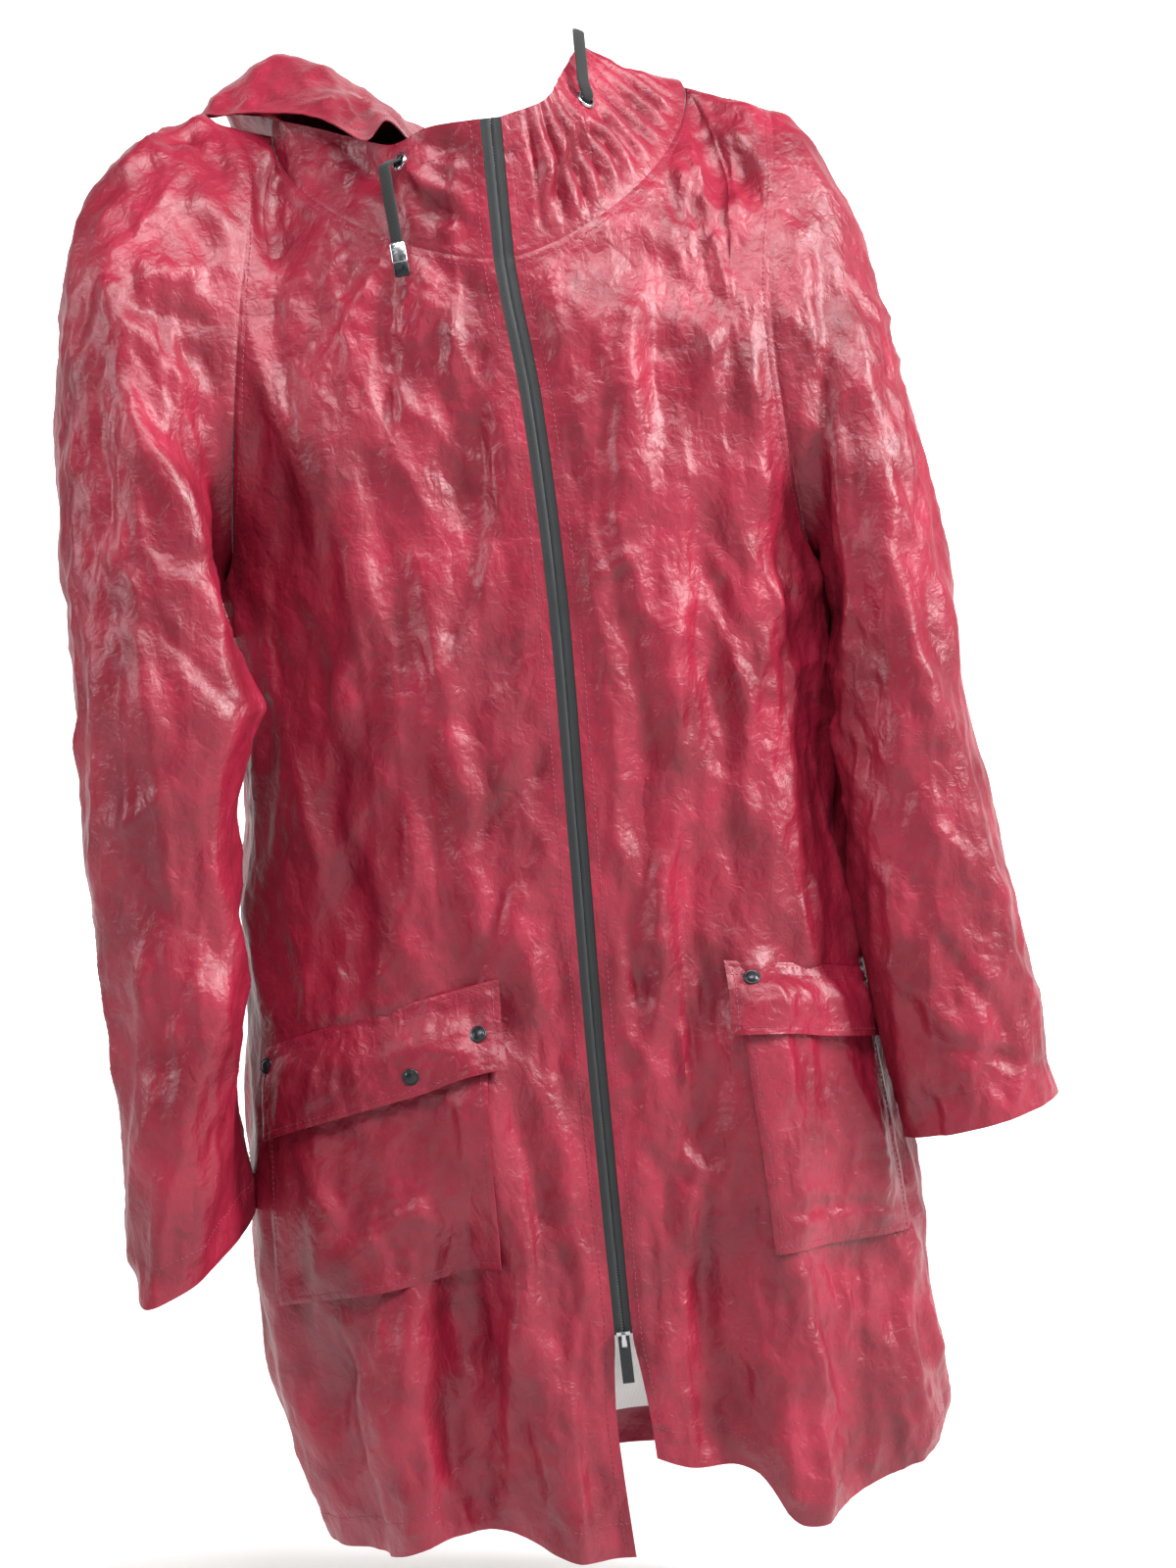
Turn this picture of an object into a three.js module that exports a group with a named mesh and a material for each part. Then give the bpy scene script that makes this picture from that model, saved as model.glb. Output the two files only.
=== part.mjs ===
// A hooded raincoat with a front zip, filled out with no wearer.
// Millimetres. x runs to the right in the front view, y away from the viewer, z up.
// The origin is inside the neck, level with the shoulders, where a wearer holds the coat up.
import * as THREE from 'three';

// Cloth and seams
const WALL = 1.5;
const GAP = 0.3;
const MITRE = 1.4;
const LAYER_GAP = 1.2;
const SEWN_GAP = 0.8;

// Levels and landmarks
const SLIDER_Z = -837;
const CHEST_Z = -325;
const NECK_FRONT = { y: -110, z: -103 };
const NECK_BACK = { x: 10, y: 62, z: -10 };
const NECK_SIDE = { left: [-146, 0, 6], right: [144, 0, 8] };
const ARMPIT_Z = { left: -303, right: -350 };

// How many strips each panel is worked out in, and the step for finding a place on one
const LOWER_ROWS = 18;
const UPPER_ROWS = 10;
const FRONT_NECK_COLS = 12;
const FRONT_SHOULDER_COLS = 4;
const BACK_NECK_COLS = 8;
const BACK_SHOULDER_COLS = 3;
const SEARCH_STEP = 0.1;

const SIDES = [
  { name: 'left', sign: -1 },
  { name: 'right', sign: 1 },
];

// Half widths to each side seam, depths at the zip and down the middle of the back,
// and how blunt the ring is: 1 is an ellipse, less is boxier
const BODY = [
  { z: -1015, left: 220, right: 206, front: 134, back: 128, blunt: 0.8 },
  { z: -940, left: 241, right: 229, front: 134, back: 130, blunt: 0.8 },
  { z: -850, left: 255, right: 228, front: 130, back: 124, blunt: 0.8 },
  { z: -745, left: 254, right: 222, front: 126, back: 116, blunt: 0.8 },
  { z: -640, left: 243, right: 212, front: 124, back: 112, blunt: 0.8 },
  { z: -510, left: 228, right: 203, front: 122, back: 108, blunt: 0.78 },
  { z: -430, left: 220, right: 199, front: 121, back: 105, blunt: 0.74 },
  { z: -350, left: 213, right: 200, front: 120, back: 103, blunt: 0.7 },
  { z: -303, left: 211, right: 199, front: 119, back: 101, blunt: 0.66 },
  { z: -200, left: 203, right: 194, front: 116, back: 96, blunt: 0.55 },
  { z: -103, left: 196, right: 190, front: 110, back: 86, blunt: 0.5 },
  { z: -10, left: 190, right: 186, front: 100, back: 62, blunt: 0.5 },
];

// Edges of the two fronts beside the zip; they part below the slider
const OPENING = [
  { z: -1015, left: -4, right: 20 },
  { z: -930, left: -7, right: 17 },
  { z: -893, left: -7.5, right: 15.5 },
  { z: -862, left: -5.5, right: 12.5 },
  { z: -838, left: -2.8, right: 9.8 },
  { z: -760, left: -1.8, right: 10.8 },
  { z: -625, left: 0.6, right: 13.4 },
  { z: -490, left: 4.6, right: 17.8 },
  { z: -330, left: 9, right: 22.6 },
  { z: -200, left: 6.5, right: 20.5 },
  { z: -103, left: -1, right: 13 },
  { z: -11.5, left: 0.2, right: 14.8 },
];

// Height of the hem, by its place across the coat
const HEM_FRONT = {
  left: [
    { across: 0, z: -992 },
    { across: 40, z: -988 },
    { across: 118, z: -966 },
    { across: 185, z: -982 },
    { across: 240, z: -994 },
  ],
  right: [
    { across: 0, z: -914 },
    { across: 36, z: -932 },
    { across: 84, z: -943 },
    { across: 108, z: -978 },
    { across: 142, z: -978 },
    { across: 200, z: -970 },
    { across: 232, z: -950 },
  ],
};
const HEM_BACK_Z = -1000;

// Armhole loops: top, down the front, under the arm, up the back
const ARMHOLE = {
  left: [
    [-172, 0, 14], [-160, -46, -22], [-177, -88, -128], [-193, -84, -222],
    null, [-204, 52, -262], [-194, 70, -165], [-183, 40, -42],
  ],
  right: [
    [201, 0, -15], [197, -45, -55], [181, -88, -150], [184, -86, -262],
    null, [197, 52, -300], [189, 72, -180], [197, 40, -55],
  ],
};

// Sleeve rings below the armhole: middle, half widths along and across, turn and tilt of the ring
const SLEEVE = {
  left: {
    headTop: [-465, -200, 104],
    headUnder: [-100, -40, -5],
    endTop: 350,
    endUnder: 80,
    rings: [
      { z: 385, x: -250, y: -112, along: 61, across: 51.5, turn: 0, tilt: 0 },
      { z: 450, x: -266, y: -110, along: 49.5, across: 48.5, turn: 12, tilt: 0 },
      { z: 510, x: -268.5, y: -106, along: 51.5, across: 45.5, turn: 32, tilt: 1 },
      { z: 564, x: -271.5, y: -102, along: 55.5, across: 42.5, turn: 58, tilt: 4 },
      { z: 650, x: -279.5, y: -98, along: 59.5, across: 37.5, turn: 92, tilt: 10 },
      { z: 720, x: -282.5, y: -96, along: 62.5, across: 29.5, turn: 112, tilt: 17 },
      { z: 755, x: -283.5, y: -98, along: 63.5, across: 24.5, turn: 119, tilt: 20 },
    ],
  },
  right: {
    headTop: [165, 0, -45],
    headUnder: [75, -10, -10],
    endTop: 380,
    endUnder: 90,
    rings: [
      { z: 420, x: 240.5, y: -62, along: 46, across: 58, turn: 0, tilt: 0 },
      { z: 540, x: 249.5, y: -70, along: 52, across: 55, turn: 0, tilt: 2 },
      { z: 640, x: 260, y: -76, along: 55, across: 52, turn: 0, tilt: 6 },
      { z: 721, x: 268.5, y: -78, along: 55, across: 48.5, turn: 0, tilt: 9.5 },
    ],
  },
};
const SLEEVE_HEAD_ROWS = 9;
const SLEEVE_ARM_ROWS = 11;

// Largest folds of the body: a line down the cloth, its half width and how far it stands out
const FOLDS = [
  { face: -1, x0: -24, z0: -190, x1: -50, z1: -330, width: 16, height: -9 },
  { face: -1, x0: -60, z0: -300, x1: -95, z1: -560, width: 22, height: 8 },
  { face: -1, x0: -118, z0: -150, x1: -128, z1: -450, width: 20, height: 7 },
  { face: -1, x0: -165, z0: -330, x1: -150, z1: -560, width: 20, height: -8 },
  { face: -1, x0: -62, z0: -640, x1: -35, z1: -1010, width: 26, height: 22 },
  { face: -1, x0: -95, z0: -760, x1: -92, z1: -1010, width: 24, height: -16 },
  { face: -1, x0: -160, z0: -770, x1: -150, z1: -1010, width: 26, height: 14 },
  { face: -1, x0: -205, z0: -820, x1: -200, z1: -1010, width: 22, height: -12 },
  { face: -1, x0: 92, z0: -170, x1: 70, z1: -420, width: 20, height: 7 },
  { face: -1, x0: 125, z0: -280, x1: 112, z1: -560, width: 18, height: -7 },
  { face: -1, x0: 60, z0: -520, x1: 58, z1: -780, width: 18, height: 8 },
  { face: -1, x0: 112, z0: -620, x1: 118, z1: -1000, width: 24, height: 17 },
  { face: -1, x0: 72, z0: -780, x1: 74, z1: -960, width: 22, height: -12 },
  { face: -1, x0: 168, z0: -800, x1: 172, z1: -1000, width: 24, height: -14 },
  { face: 1, x0: -130, z0: -250, x1: -150, z1: -1000, width: 30, height: 14 },
  { face: 1, x0: -70, z0: -350, x1: -80, z1: -1000, width: 28, height: -14 },
  { face: 1, x0: -10, z0: -300, x1: -12, z1: -1000, width: 30, height: 13 },
  { face: 1, x0: 50, z0: -420, x1: 58, z1: -1000, width: 28, height: -13 },
  { face: 1, x0: 118, z0: -260, x1: 132, z1: -1000, width: 30, height: 14 },
];
const FOLD_TAPER = 70;
const SEAM_FADE = 0.12;

// Hood sections from the neck seam to the brim. Around runs from the zip (0) over the shoulder (0.5)
// to the middle of the back (1). A section with only a brim runs straight up to it.
const HOOD = {
  left: [
    { around: 0, brim: [0.2, -110, -11.5] },
    { around: 0.1, brim: [-36, -101, -12] },
    { around: 0.18, brim: [-60, -80, -18] },
    { around: 0.27, brim: [-90, -46, -6] },
    { around: 0.36, brim: [-122, -24, 8] },
    { around: 0.44, rise: [-139, -8, 9], drop: [-141, -4, 20], crown: [-150, -1, 26], brim: [-161, 1, 25] },
    { around: 0.5, rise: [-146, 6, 21], drop: [-160, 18, 32], crown: [-184, 24, 37], brim: [-197, 11, 33] },
    { around: 0.58, rise: [-150, 34, 12], drop: [-172, 62, 0], crown: [-186, 46, 48], brim: [-167, -11, 28] },
    { around: 0.68, rise: [-122, 72, -10], drop: [-142, 118, -86], crown: [-144, 55, 64],
      brim: [-128, -34, 16] },
    { around: 0.77, rise: [-88, 84, -5], drop: [-108, 140, -128], crown: [-112, 60, 55],
      brim: [-98, -66, 2] },
    { around: 0.83, rise: [-62, 84, 0], drop: [-76, 146, -150], crown: [-88, 50, 34], brim: [-77, -89, -15] },
    { around: 0.87, rise: [-46, 83, 0], drop: [-54, 148, -162], crown: [-70, 74, 20], brim: [-62, -70, 0] },
    { around: 0.92, rise: [-26, 82, 2], drop: [-32, 150, -174], crown: [-42, 112, 4], brim: [-46, -8, -10] },
    { around: 1, rise: [10, 82, 4], drop: [10, 150, -180], crown: [10, 150, -40], brim: [5, 105, 0] },
  ],
  right: [
    { around: 0, brim: [14.8, -110, -11.5] },
    { around: 0.12, brim: [45, -96, -2] },
    { around: 0.26, brim: [60, -62, 20] },
    { around: 0.38, brim: [74, -22, 40] },
    { around: 0.5, rise: [140, 4, 13], drop: [130, 8, 18], crown: [108, 10, 24], brim: [84, 14, 30] },
    { around: 0.58, rise: [142, 34, 12], drop: [138, 50, 8], crown: [114, 48, 22], brim: [86, 42, 18] },
    { around: 0.68, rise: [124, 66, 2], drop: [136, 110, -70], crown: [110, 100, 8], brim: [80, 76, 8] },
    { around: 0.8, rise: [84, 80, 2], drop: [96, 140, -140], crown: [76, 130, -6], brim: [60, 98, 4] },
    { around: 0.9, rise: [46, 82, 4], drop: [52, 150, -170], crown: [42, 146, -26], brim: [35, 105, 2] },
    { around: 1, rise: [10, 82, 4], drop: [10, 150, -180], crown: [10, 150, -40], brim: [5, 105, 0] },
  ],
};
const HOOD_FRONT_COLS = { left: 12, right: 26 };
const HOOD_BACK_COLS = 12;
const HOOD_ROWS = 12;
const GATHERS = { count: 6, from: 0.04, to: 0.46, height: 3.2, flat: 13 };

// Pockets and flaps: from the panel's column nearest the zip to the one nearest the side,
// with the heights of the top and foot at both ends
const POCKET = {
  left: { inner: 2, outer: 11, topIn: -604, topOut: -656, footIn: -780, footOut: -804, puff: 5 },
  right: { inner: 4, outer: 11.6, topIn: -622, topOut: -644, footIn: -790, footOut: -802, puff: 3 },
};
const FLAP = {
  left: { inner: 1.6, outer: 11.3, topIn: -582, topOut: -622, footIn: -644, footOut: -688, lift: 8 },
  right: { inner: 3.7, outer: 11.9, topIn: -588, topOut: -614, footIn: -638, footOut: -664, lift: 6 },
};
const POCKET_ROWS = 8;
const FLAP_ROWS = 4;
const SNAPS = {
  left: [[-222, -70, -634], [-118, -120, -640], [-70, -130, -618]],
  right: [[118, -125, -600], [202, -70, -636]],
};
const SNAP_RADIUS = 6;
const SNAP_HEIGHT = 2.4;
const SNAP_STANDOFF = 0.85;
const SNAP_SIDES = 16;

// Zip
const TAPE_WALL = 1;
const SLIDER = { width: 9.5, top: 4, foot: 9, thick: 3.2 };
const BRIDGE = { width: 2.6, height: 7, depth: 4.4, bar: 1.1 };
const PULL = { bar: 1.2, eye: 7.4, length: 31, foot: 8, play: 0.5 };
const ZIP_X = 3.5;
const SLIDER_Y = -129.9;

// Drawcord: flat braid, its ends and eyelets
const CORD = { width: 8.4, thick: 2, sides: 10, steps: 26 };
const CORD_ROUTE = {
  left: [[-66, -105, -35], [-65.5, -109.5, -44], [-65, -112.5, -57], [-64, -115, -71], [-63, -117.5, -86]],
  right: [[72.5, -71, 9], [73, -58, 27], [73.5, -42, 41], [74, -27, 49.5], [74, -17, 50], [74, -8, 44],
    [74, -3, 33], [74, -1, 20]],
};
const TIP = { width: 10.4, thick: 4.4, length: 23 };
const EYELET = { hole: 4.9, rim: 7, height: 1.6, standoff: 0.7 };
const EYELET_AT = { left: [-63, -97, -29], right: [72, -66, -2.4] };
const CORD_START = 0.6;
const CORD_RISE = 4;

// Colours from the cloth, the zip and the trims
const MAROON = { color: 0x7a1c33, roughness: 0.34, metalness: 0 };
const MAROON_TRIM = { color: 0x701a2f, roughness: 0.36, metalness: 0 };
const BLACK_TAPE = { color: 0x1b1e22, roughness: 0.5, metalness: 0 };
const BLACK_CORD = { color: 0x16181b, roughness: 0.85, metalness: 0 };
const BLACK_METAL = { color: 0x25272b, roughness: 0.35, metalness: 0.8 };
const STEEL = { color: 0xb9bcc2, roughness: 0.28, metalness: 1 };

const vec = (p) => new THREE.Vector3(p[0], p[1], p[2]);
const clamp01 = (v) => Math.min(Math.max(v, 0), 1);
const smooth = (v) => clamp01(v) ** 2 * (3 - 2 * clamp01(v));
const mix = THREE.MathUtils.lerp;

// Value of a smooth curve between two values with given slopes
function hermite(a, b, slopeA, slopeB, f) {
  const g = f * f;
  const h = g * f;
  return a * (2 * h - 3 * g + 1) + slopeA * (h - 2 * g + f) + b * (3 * g - 2 * h) + slopeB * (h - g);
}

// Reads every column of a table at one value of its key column, smoothly between rows
function readRow(table, key, at) {
  const last = table.length - 1;
  let i = 0;
  while (i < last - 1 && at > table[i + 1][key]) i += 1;
  const rows = [Math.max(i - 1, 0), i, i + 1, Math.min(i + 2, last)].map((k) => table[k]);
  const span = rows[2][key] - rows[1][key];
  const f = clamp01((at - rows[1][key]) / span);
  const out = {};
  for (const name of Object.keys(rows[1])) {
    const slopeA = ((rows[2][name] - rows[0][name]) / (rows[2][key] - rows[0][key])) * span;
    const slopeB = ((rows[3][name] - rows[1][name]) / (rows[3][key] - rows[1][key])) * span;
    out[name] = hermite(rows[1][name], rows[2][name], slopeA, slopeB, f);
  }
  return out;
}

// A point of the body's ring at a height: s is 0 at the middle of the panel and 1 at the side seam
function ringPoint(side, face, s, z) {
  const row = readRow(BODY, 'z', z);
  const start = face < 0 ? readRow(OPENING, 'z', z)[side.name] : NECK_BACK.x;
  const depth = face < 0 ? row.front : row.back;
  const angle = (s * Math.PI) / 2;
  const x = mix(start, side.sign * row[side.name], Math.sin(angle) ** row.blunt);
  return new THREE.Vector3(x, face * depth * Math.max(Math.cos(angle), 0) ** row.blunt, z);
}

// The armhole as one smooth loop, its lowest point on the side seam
function armholeLoop(side) {
  const under = ringPoint(side, -1, 1, ARMPIT_Z[side.name]);
  under.y = 0;
  const points = ARMHOLE[side.name].map((p) => (p ? vec(p) : under));
  return new THREE.CatmullRomCurve3(points, true, 'centripetal');
}
const LOOPS = { left: armholeLoop(SIDES[0]), right: armholeLoop(SIDES[1]) };

// A point of the armhole edge of a panel: t is 0 under the arm and 1 at the shoulder
function armholePoint(side, face, t) {
  const turn = 0.5 + face * 0.5 * t;
  return LOOPS[side.name].getPoint(((turn % 1) + 1) % 1);
}

// The top edge of a panel: the neckline from the middle to the neck point, then the shoulder seam
function topPoint(side, face, s) {
  const neckShare = face < 0
    ? FRONT_NECK_COLS / (FRONT_NECK_COLS + FRONT_SHOULDER_COLS)
    : BACK_NECK_COLS / (BACK_NECK_COLS + BACK_SHOULDER_COLS);
  const neck = vec(NECK_SIDE[side.name]);
  if (s > neckShare) return neck.lerp(vec(ARMHOLE[side.name][0]), (s - neckShare) / (1 - neckShare));
  const angle = ((s / neckShare) * Math.PI) / 2;
  const rise = 1 - Math.cos(angle);
  if (face < 0) {
    const start = readRow(OPENING, 'z', NECK_FRONT.z)[side.name];
    const y = NECK_FRONT.y * Math.max(Math.cos(angle), 0) ** 1.3;
    return new THREE.Vector3(mix(start, neck.x, Math.sin(angle)), y, mix(NECK_FRONT.z, neck.z, rise ** 0.75));
  }
  const y = NECK_BACK.y * Math.max(Math.cos(angle), 0) ** 0.9;
  return new THREE.Vector3(mix(NECK_BACK.x, neck.x, Math.sin(angle)), y, mix(NECK_BACK.z, neck.z, rise));
}

// The middle edge of a panel above the chest
function middlePoint(side, face, t) {
  return ringPoint(side, face, 0, mix(CHEST_Z, face < 0 ? NECK_FRONT.z : NECK_BACK.z, t));
}

// Height of the chest line and of the hem at a place across the panel
const chestZ = (side, s) => mix(CHEST_Z, ARMPIT_Z[side.name], s);
function hemZ(side, face, s) {
  const across = Math.abs(ringPoint(side, face, s, -960).x);
  const front = readRow(HEM_FRONT[side.name], 'across', across).z;
  const sideZ = HEM_FRONT[side.name].at(-1).z;
  return face < 0 ? front : mix(HEM_BACK_Z, sideZ, smooth(s) ** 2);
}

// How far round its ring a panel reaches before the armhole, as a share of the way to the side
function reachToArmhole(side, face, t) {
  const edge = armholePoint(side, face, t);
  const row = readRow(BODY, 'z', edge.z);
  const share = clamp01(Math.abs(edge.y) / (face < 0 ? row.front : row.back));
  return Math.acos(share ** (1 / row.blunt)) / (Math.PI / 2);
}

// Rings trimmed at the armhole that lean back to the top edge
function chestToTop(side, face, s, t) {
  const top = topPoint(side, face, s);
  const z = mix(chestZ(side, s), top.z, t);
  const ring = ringPoint(side, face, s * reachToArmhole(side, face, t), z);
  const lean = t ** 2.4;
  return new THREE.Vector3(mix(ring.x, top.x, lean), mix(ring.y, top.y, lean), z);
}

// Smooth panel surface: rings up to the chest line, then a sheet held by its four edges
function panelPoint(side, face, s, row) {
  if (row <= LOWER_ROWS) {
    const z = mix(hemZ(side, face, s), chestZ(side, s), row / LOWER_ROWS);
    return ringPoint(side, face, s, z);
  }
  const t = (row - LOWER_ROWS) / UPPER_ROWS;
  const point = chestToTop(side, face, s, t);
  const edges = [
    { weight: (1 - s) ** 2, at: middlePoint(side, face, t), s: 0 },
    { weight: s ** 2, at: armholePoint(side, face, t), s: 1 },
  ];
  for (const edge of edges) {
    point.addScaledVector(edge.at.sub(chestToTop(side, face, edge.s, t)), edge.weight);
  }
  return point;
}

// How far the folds move the cloth out at a place; nothing at the seams and the zip
function foldHeight(face, x, z, s, t) {
  const middleFade = face < 0 ? smooth(s / SEAM_FADE) : 1;
  const fade = middleFade * smooth((1 - s) / SEAM_FADE) * smooth((1 - t) / SEAM_FADE);
  let out = 0;
  for (const fold of FOLDS) {
    if (fold.face !== face) continue;
    const length = Math.hypot(fold.x1 - fold.x0, fold.z1 - fold.z0);
    const ux = (fold.x1 - fold.x0) / length;
    const uz = (fold.z1 - fold.z0) / length;
    const along = (x - fold.x0) * ux + (z - fold.z0) * uz;
    const off = (x - fold.x0) * uz - (z - fold.z0) * ux;
    const start = smooth(along / FOLD_TAPER + 0.5);
    const end = smooth((length - along) / FOLD_TAPER + 0.5);
    out += fold.height * Math.exp(-((off / fold.width) ** 2)) * start * end;
  }
  return out * fade;
}

// Normals of a grid of points, pointing to the side that cols x rows turns to
function gridNormals(grid, closed) {
  const cols = grid.length;
  const rows = grid[0].length;
  return grid.map((line, i) => line.map((point, j) => {
    const left = closed ? grid[(i + cols - 1) % cols][j] : grid[Math.max(i - 1, 0)][j];
    const right = closed ? grid[(i + 1) % cols][j] : grid[Math.min(i + 1, cols - 1)][j];
    const down = line[Math.max(j - 1, 0)];
    const up = line[Math.min(j + 1, rows - 1)];
    return right.clone().sub(left).cross(up.clone().sub(down)).normalize();
  }));
}

// Moves a grid's open edges in by half a seam gap; the second grid gives the mitred inner edge
function insetEdges(grid, distance, closed) {
  const out = grid.map((line) => line.map((p) => p.clone()));
  const cols = grid.length;
  const rows = grid[0].length;
  const step = (i, j, k, l) => grid[k][l].clone().sub(grid[i][j]).setLength(distance);
  for (let i = 0; i < cols; i += 1) {
    out[i][0].add(step(i, 0, i, 1));
    out[i][rows - 1].add(step(i, rows - 1, i, rows - 2));
  }
  if (closed) return out;
  for (let j = 0; j < rows; j += 1) {
    out[0][j].add(step(0, j, 1, j));
    out[cols - 1][j].add(step(cols - 1, j, cols - 2, j));
  }
  return out;
}

// A closed wall between an outer and an inner grid
function wallBetween(outer, inner, closed) {
  const cols = outer.length;
  const rows = outer[0].length;
  const positions = [];
  for (const grid of [outer, inner]) {
    for (const line of grid) {
      for (const p of line) positions.push(p.x, p.y, p.z);
    }
  }
  const id = (layer, i, j) => layer * cols * rows + (i % cols) * rows + j;
  const index = [];
  const quad = (a, b, c, d) => index.push(a, b, c, a, c, d);
  const spans = closed ? cols : cols - 1;
  for (let i = 0; i < spans; i += 1) {
    for (let j = 0; j < rows - 1; j += 1) {
      quad(id(0, i, j), id(0, i + 1, j), id(0, i + 1, j + 1), id(0, i, j + 1));
      quad(id(1, i, j), id(1, i, j + 1), id(1, i + 1, j + 1), id(1, i + 1, j));
    }
    quad(id(0, i + 1, 0), id(0, i, 0), id(1, i, 0), id(1, i + 1, 0));
    quad(id(0, i, rows - 1), id(0, i + 1, rows - 1), id(1, i + 1, rows - 1), id(1, i, rows - 1));
  }
  if (!closed) {
    for (let j = 0; j < rows - 1; j += 1) {
      quad(id(0, 0, j), id(0, 0, j + 1), id(1, 0, j + 1), id(1, 0, j));
      quad(id(0, cols - 1, j + 1), id(0, cols - 1, j), id(1, cols - 1, j), id(1, cols - 1, j + 1));
    }
  }
  const geometry = new THREE.BufferGeometry();
  geometry.setAttribute('position', new THREE.Float32BufferAttribute(positions, 3));
  geometry.setIndex(index);
  return geometry;
}

// A cloth wall whose outer face is the grid
function clothWall(grid, closed = false, thickness = WALL) {
  const normals = gridNormals(grid, closed);
  const outer = insetEdges(grid, GAP / 2, closed);
  const mitred = insetEdges(grid, GAP / 2 + MITRE * (thickness / WALL), closed);
  const moveIn = (p, i, j) => p.clone().addScaledVector(normals[i][j], -thickness);
  const inner = mitred.map((line, i) => line.map((p, j) => moveIn(p, i, j)));
  return wallBetween(outer, inner, closed);
}

const model = new THREE.Group();
function addMesh(name, geometry, finish) {
  const material = new THREE.MeshStandardMaterial({ ...finish, name: `${name}_finish` });
  const mesh = new THREE.Mesh(geometry, material);
  mesh.name = name;
  model.add(mesh);
  return mesh;
}

// Grid of a panel's half from its middle to the side seam, folds included
function panelGrid(side, face) {
  const cols = face < 0 ? FRONT_NECK_COLS + FRONT_SHOULDER_COLS : BACK_NECK_COLS + BACK_SHOULDER_COLS;
  const rows = LOWER_ROWS + UPPER_ROWS;
  const grid = [];
  for (let i = 0; i <= cols; i += 1) {
    grid.push([]);
    for (let j = 0; j <= rows; j += 1) grid[i].push(panelPoint(side, face, i / cols, j));
  }
  const flip = side.sign * face;
  const normals = gridNormals(grid, false);
  return grid.map((line, i) => line.map((p, j) => {
    const t = Math.max(j - LOWER_ROWS, 0) / UPPER_ROWS;
    return p.clone().addScaledVector(normals[i][j], -flip * foldHeight(face, p.x, p.z, i / cols, t));
  }));
}
const FRONTS = { left: panelGrid(SIDES[0], -1), right: panelGrid(SIDES[1], -1) };
const BACKS = { left: panelGrid(SIDES[0], 1), right: panelGrid(SIDES[1], 1) };

// The columns of a grid in the order that turns its normals outwards
const outward = (grid, flipped) => (flipped ? [...grid].reverse() : grid);

function addFronts() {
  for (const side of SIDES) {
    addMesh(`front_${side.name}`, clothWall(outward(FRONTS[side.name], side.sign < 0)), MAROON);
  }
}

function addBack() {
  const grid = [...[...BACKS.right].reverse(), ...BACKS.left.slice(1)];
  addMesh('back', clothWall(grid), MAROON);
}

// A place on a line of points, counted in points from its start
function linePoint(points, at) {
  const i = Math.min(Math.floor(at), points.length - 2);
  return points[i].clone().lerp(points[i + 1], at - i);
}

// A point of a sleeve ring below the underarm: an oval turned about its own middle and tilted
function sleevePoint(row, share) {
  const angle = share * 2 * Math.PI;
  const turn = THREE.MathUtils.degToRad(row.turn);
  const along = row.along * Math.cos(angle);
  const across = row.across * Math.sin(angle);
  const x = row.x + Math.sign(row.x) * (along * Math.cos(turn) + across * Math.sin(turn));
  const y = row.y + along * Math.sin(turn) - across * Math.cos(turn);
  return new THREE.Vector3(x, y, row.tilt * Math.cos(angle) - row.z);
}

function addSleeves() {
  for (const side of SIDES) {
    const shape = SLEEVE[side.name];
    const front = FRONTS[side.name].at(-1).slice(LOWER_ROWS);
    const back = BACKS[side.name].at(-1).slice(LOWER_ROWS);
    const loop = [...[...front].reverse(), ...back.slice(1, -1)];
    const grid = loop.map((start, i) => {
      const share = i / loop.length;
      const under = (1 - Math.cos(share * 2 * Math.PI)) / 2;
      const leave = vec(shape.headTop).lerp(vec(shape.headUnder), under);
      const arrive = -mix(shape.endTop, shape.endUnder, under);
      const end = sleevePoint(shape.rings[0], share);
      const line = [];
      for (let k = 0; k <= SLEEVE_HEAD_ROWS; k += 1) {
        const f = k / SLEEVE_HEAD_ROWS;
        line.push(new THREE.Vector3(
          hermite(start.x, end.x, leave.x, 0, f),
          hermite(start.y, end.y, leave.y, 0, f),
          hermite(start.z, end.z, leave.z, arrive, f),
        ));
      }
      const from = shape.rings[0].z;
      const to = shape.rings.at(-1).z;
      for (let k = 1; k <= SLEEVE_ARM_ROWS; k += 1) {
        const row = readRow(shape.rings, 'z', mix(from, to, k / SLEEVE_ARM_ROWS));
        line.push(sleevePoint(row, share));
      }
      return line;
    });
    addMesh(`sleeve_${side.name}`, clothWall(outward(grid, side.sign < 0), true), MAROON);
  }
}

// The neck seam of one side: from the zip over the neck point to the middle of the back
function neckLine(side) {
  const front = FRONTS[side.name].slice(0, FRONT_NECK_COLS + 1).map((line) => line.at(-1));
  const back = BACKS[side.name].slice(0, BACK_NECK_COLS + 1).map((line) => line.at(-1));
  const flipped = [...back].reverse();
  return (around) => (around <= 0.5
    ? linePoint(front, around * 2 * FRONT_NECK_COLS)
    : linePoint(flipped, (around - 0.5) * 2 * BACK_NECK_COLS));
}

// Hood sections with every waypoint filled in, as rows of plain numbers
function hoodRows(side, neck) {
  return HOOD[side.name].map((section) => {
    const seam = neck(section.around);
    const brim = vec(section.brim);
    const row = { around: section.around };
    const waypoints = { rise: 0.25, drop: 0.5, crown: 0.75, brim: 1 };
    for (const [name, share] of Object.entries(waypoints)) {
      const p = section[name] ? vec(section[name]) : seam.clone().lerp(brim, share);
      row[`${name}X`] = p.x;
      row[`${name}Y`] = p.y;
      row[`${name}Z`] = p.z;
    }
    return row;
  });
}

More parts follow.
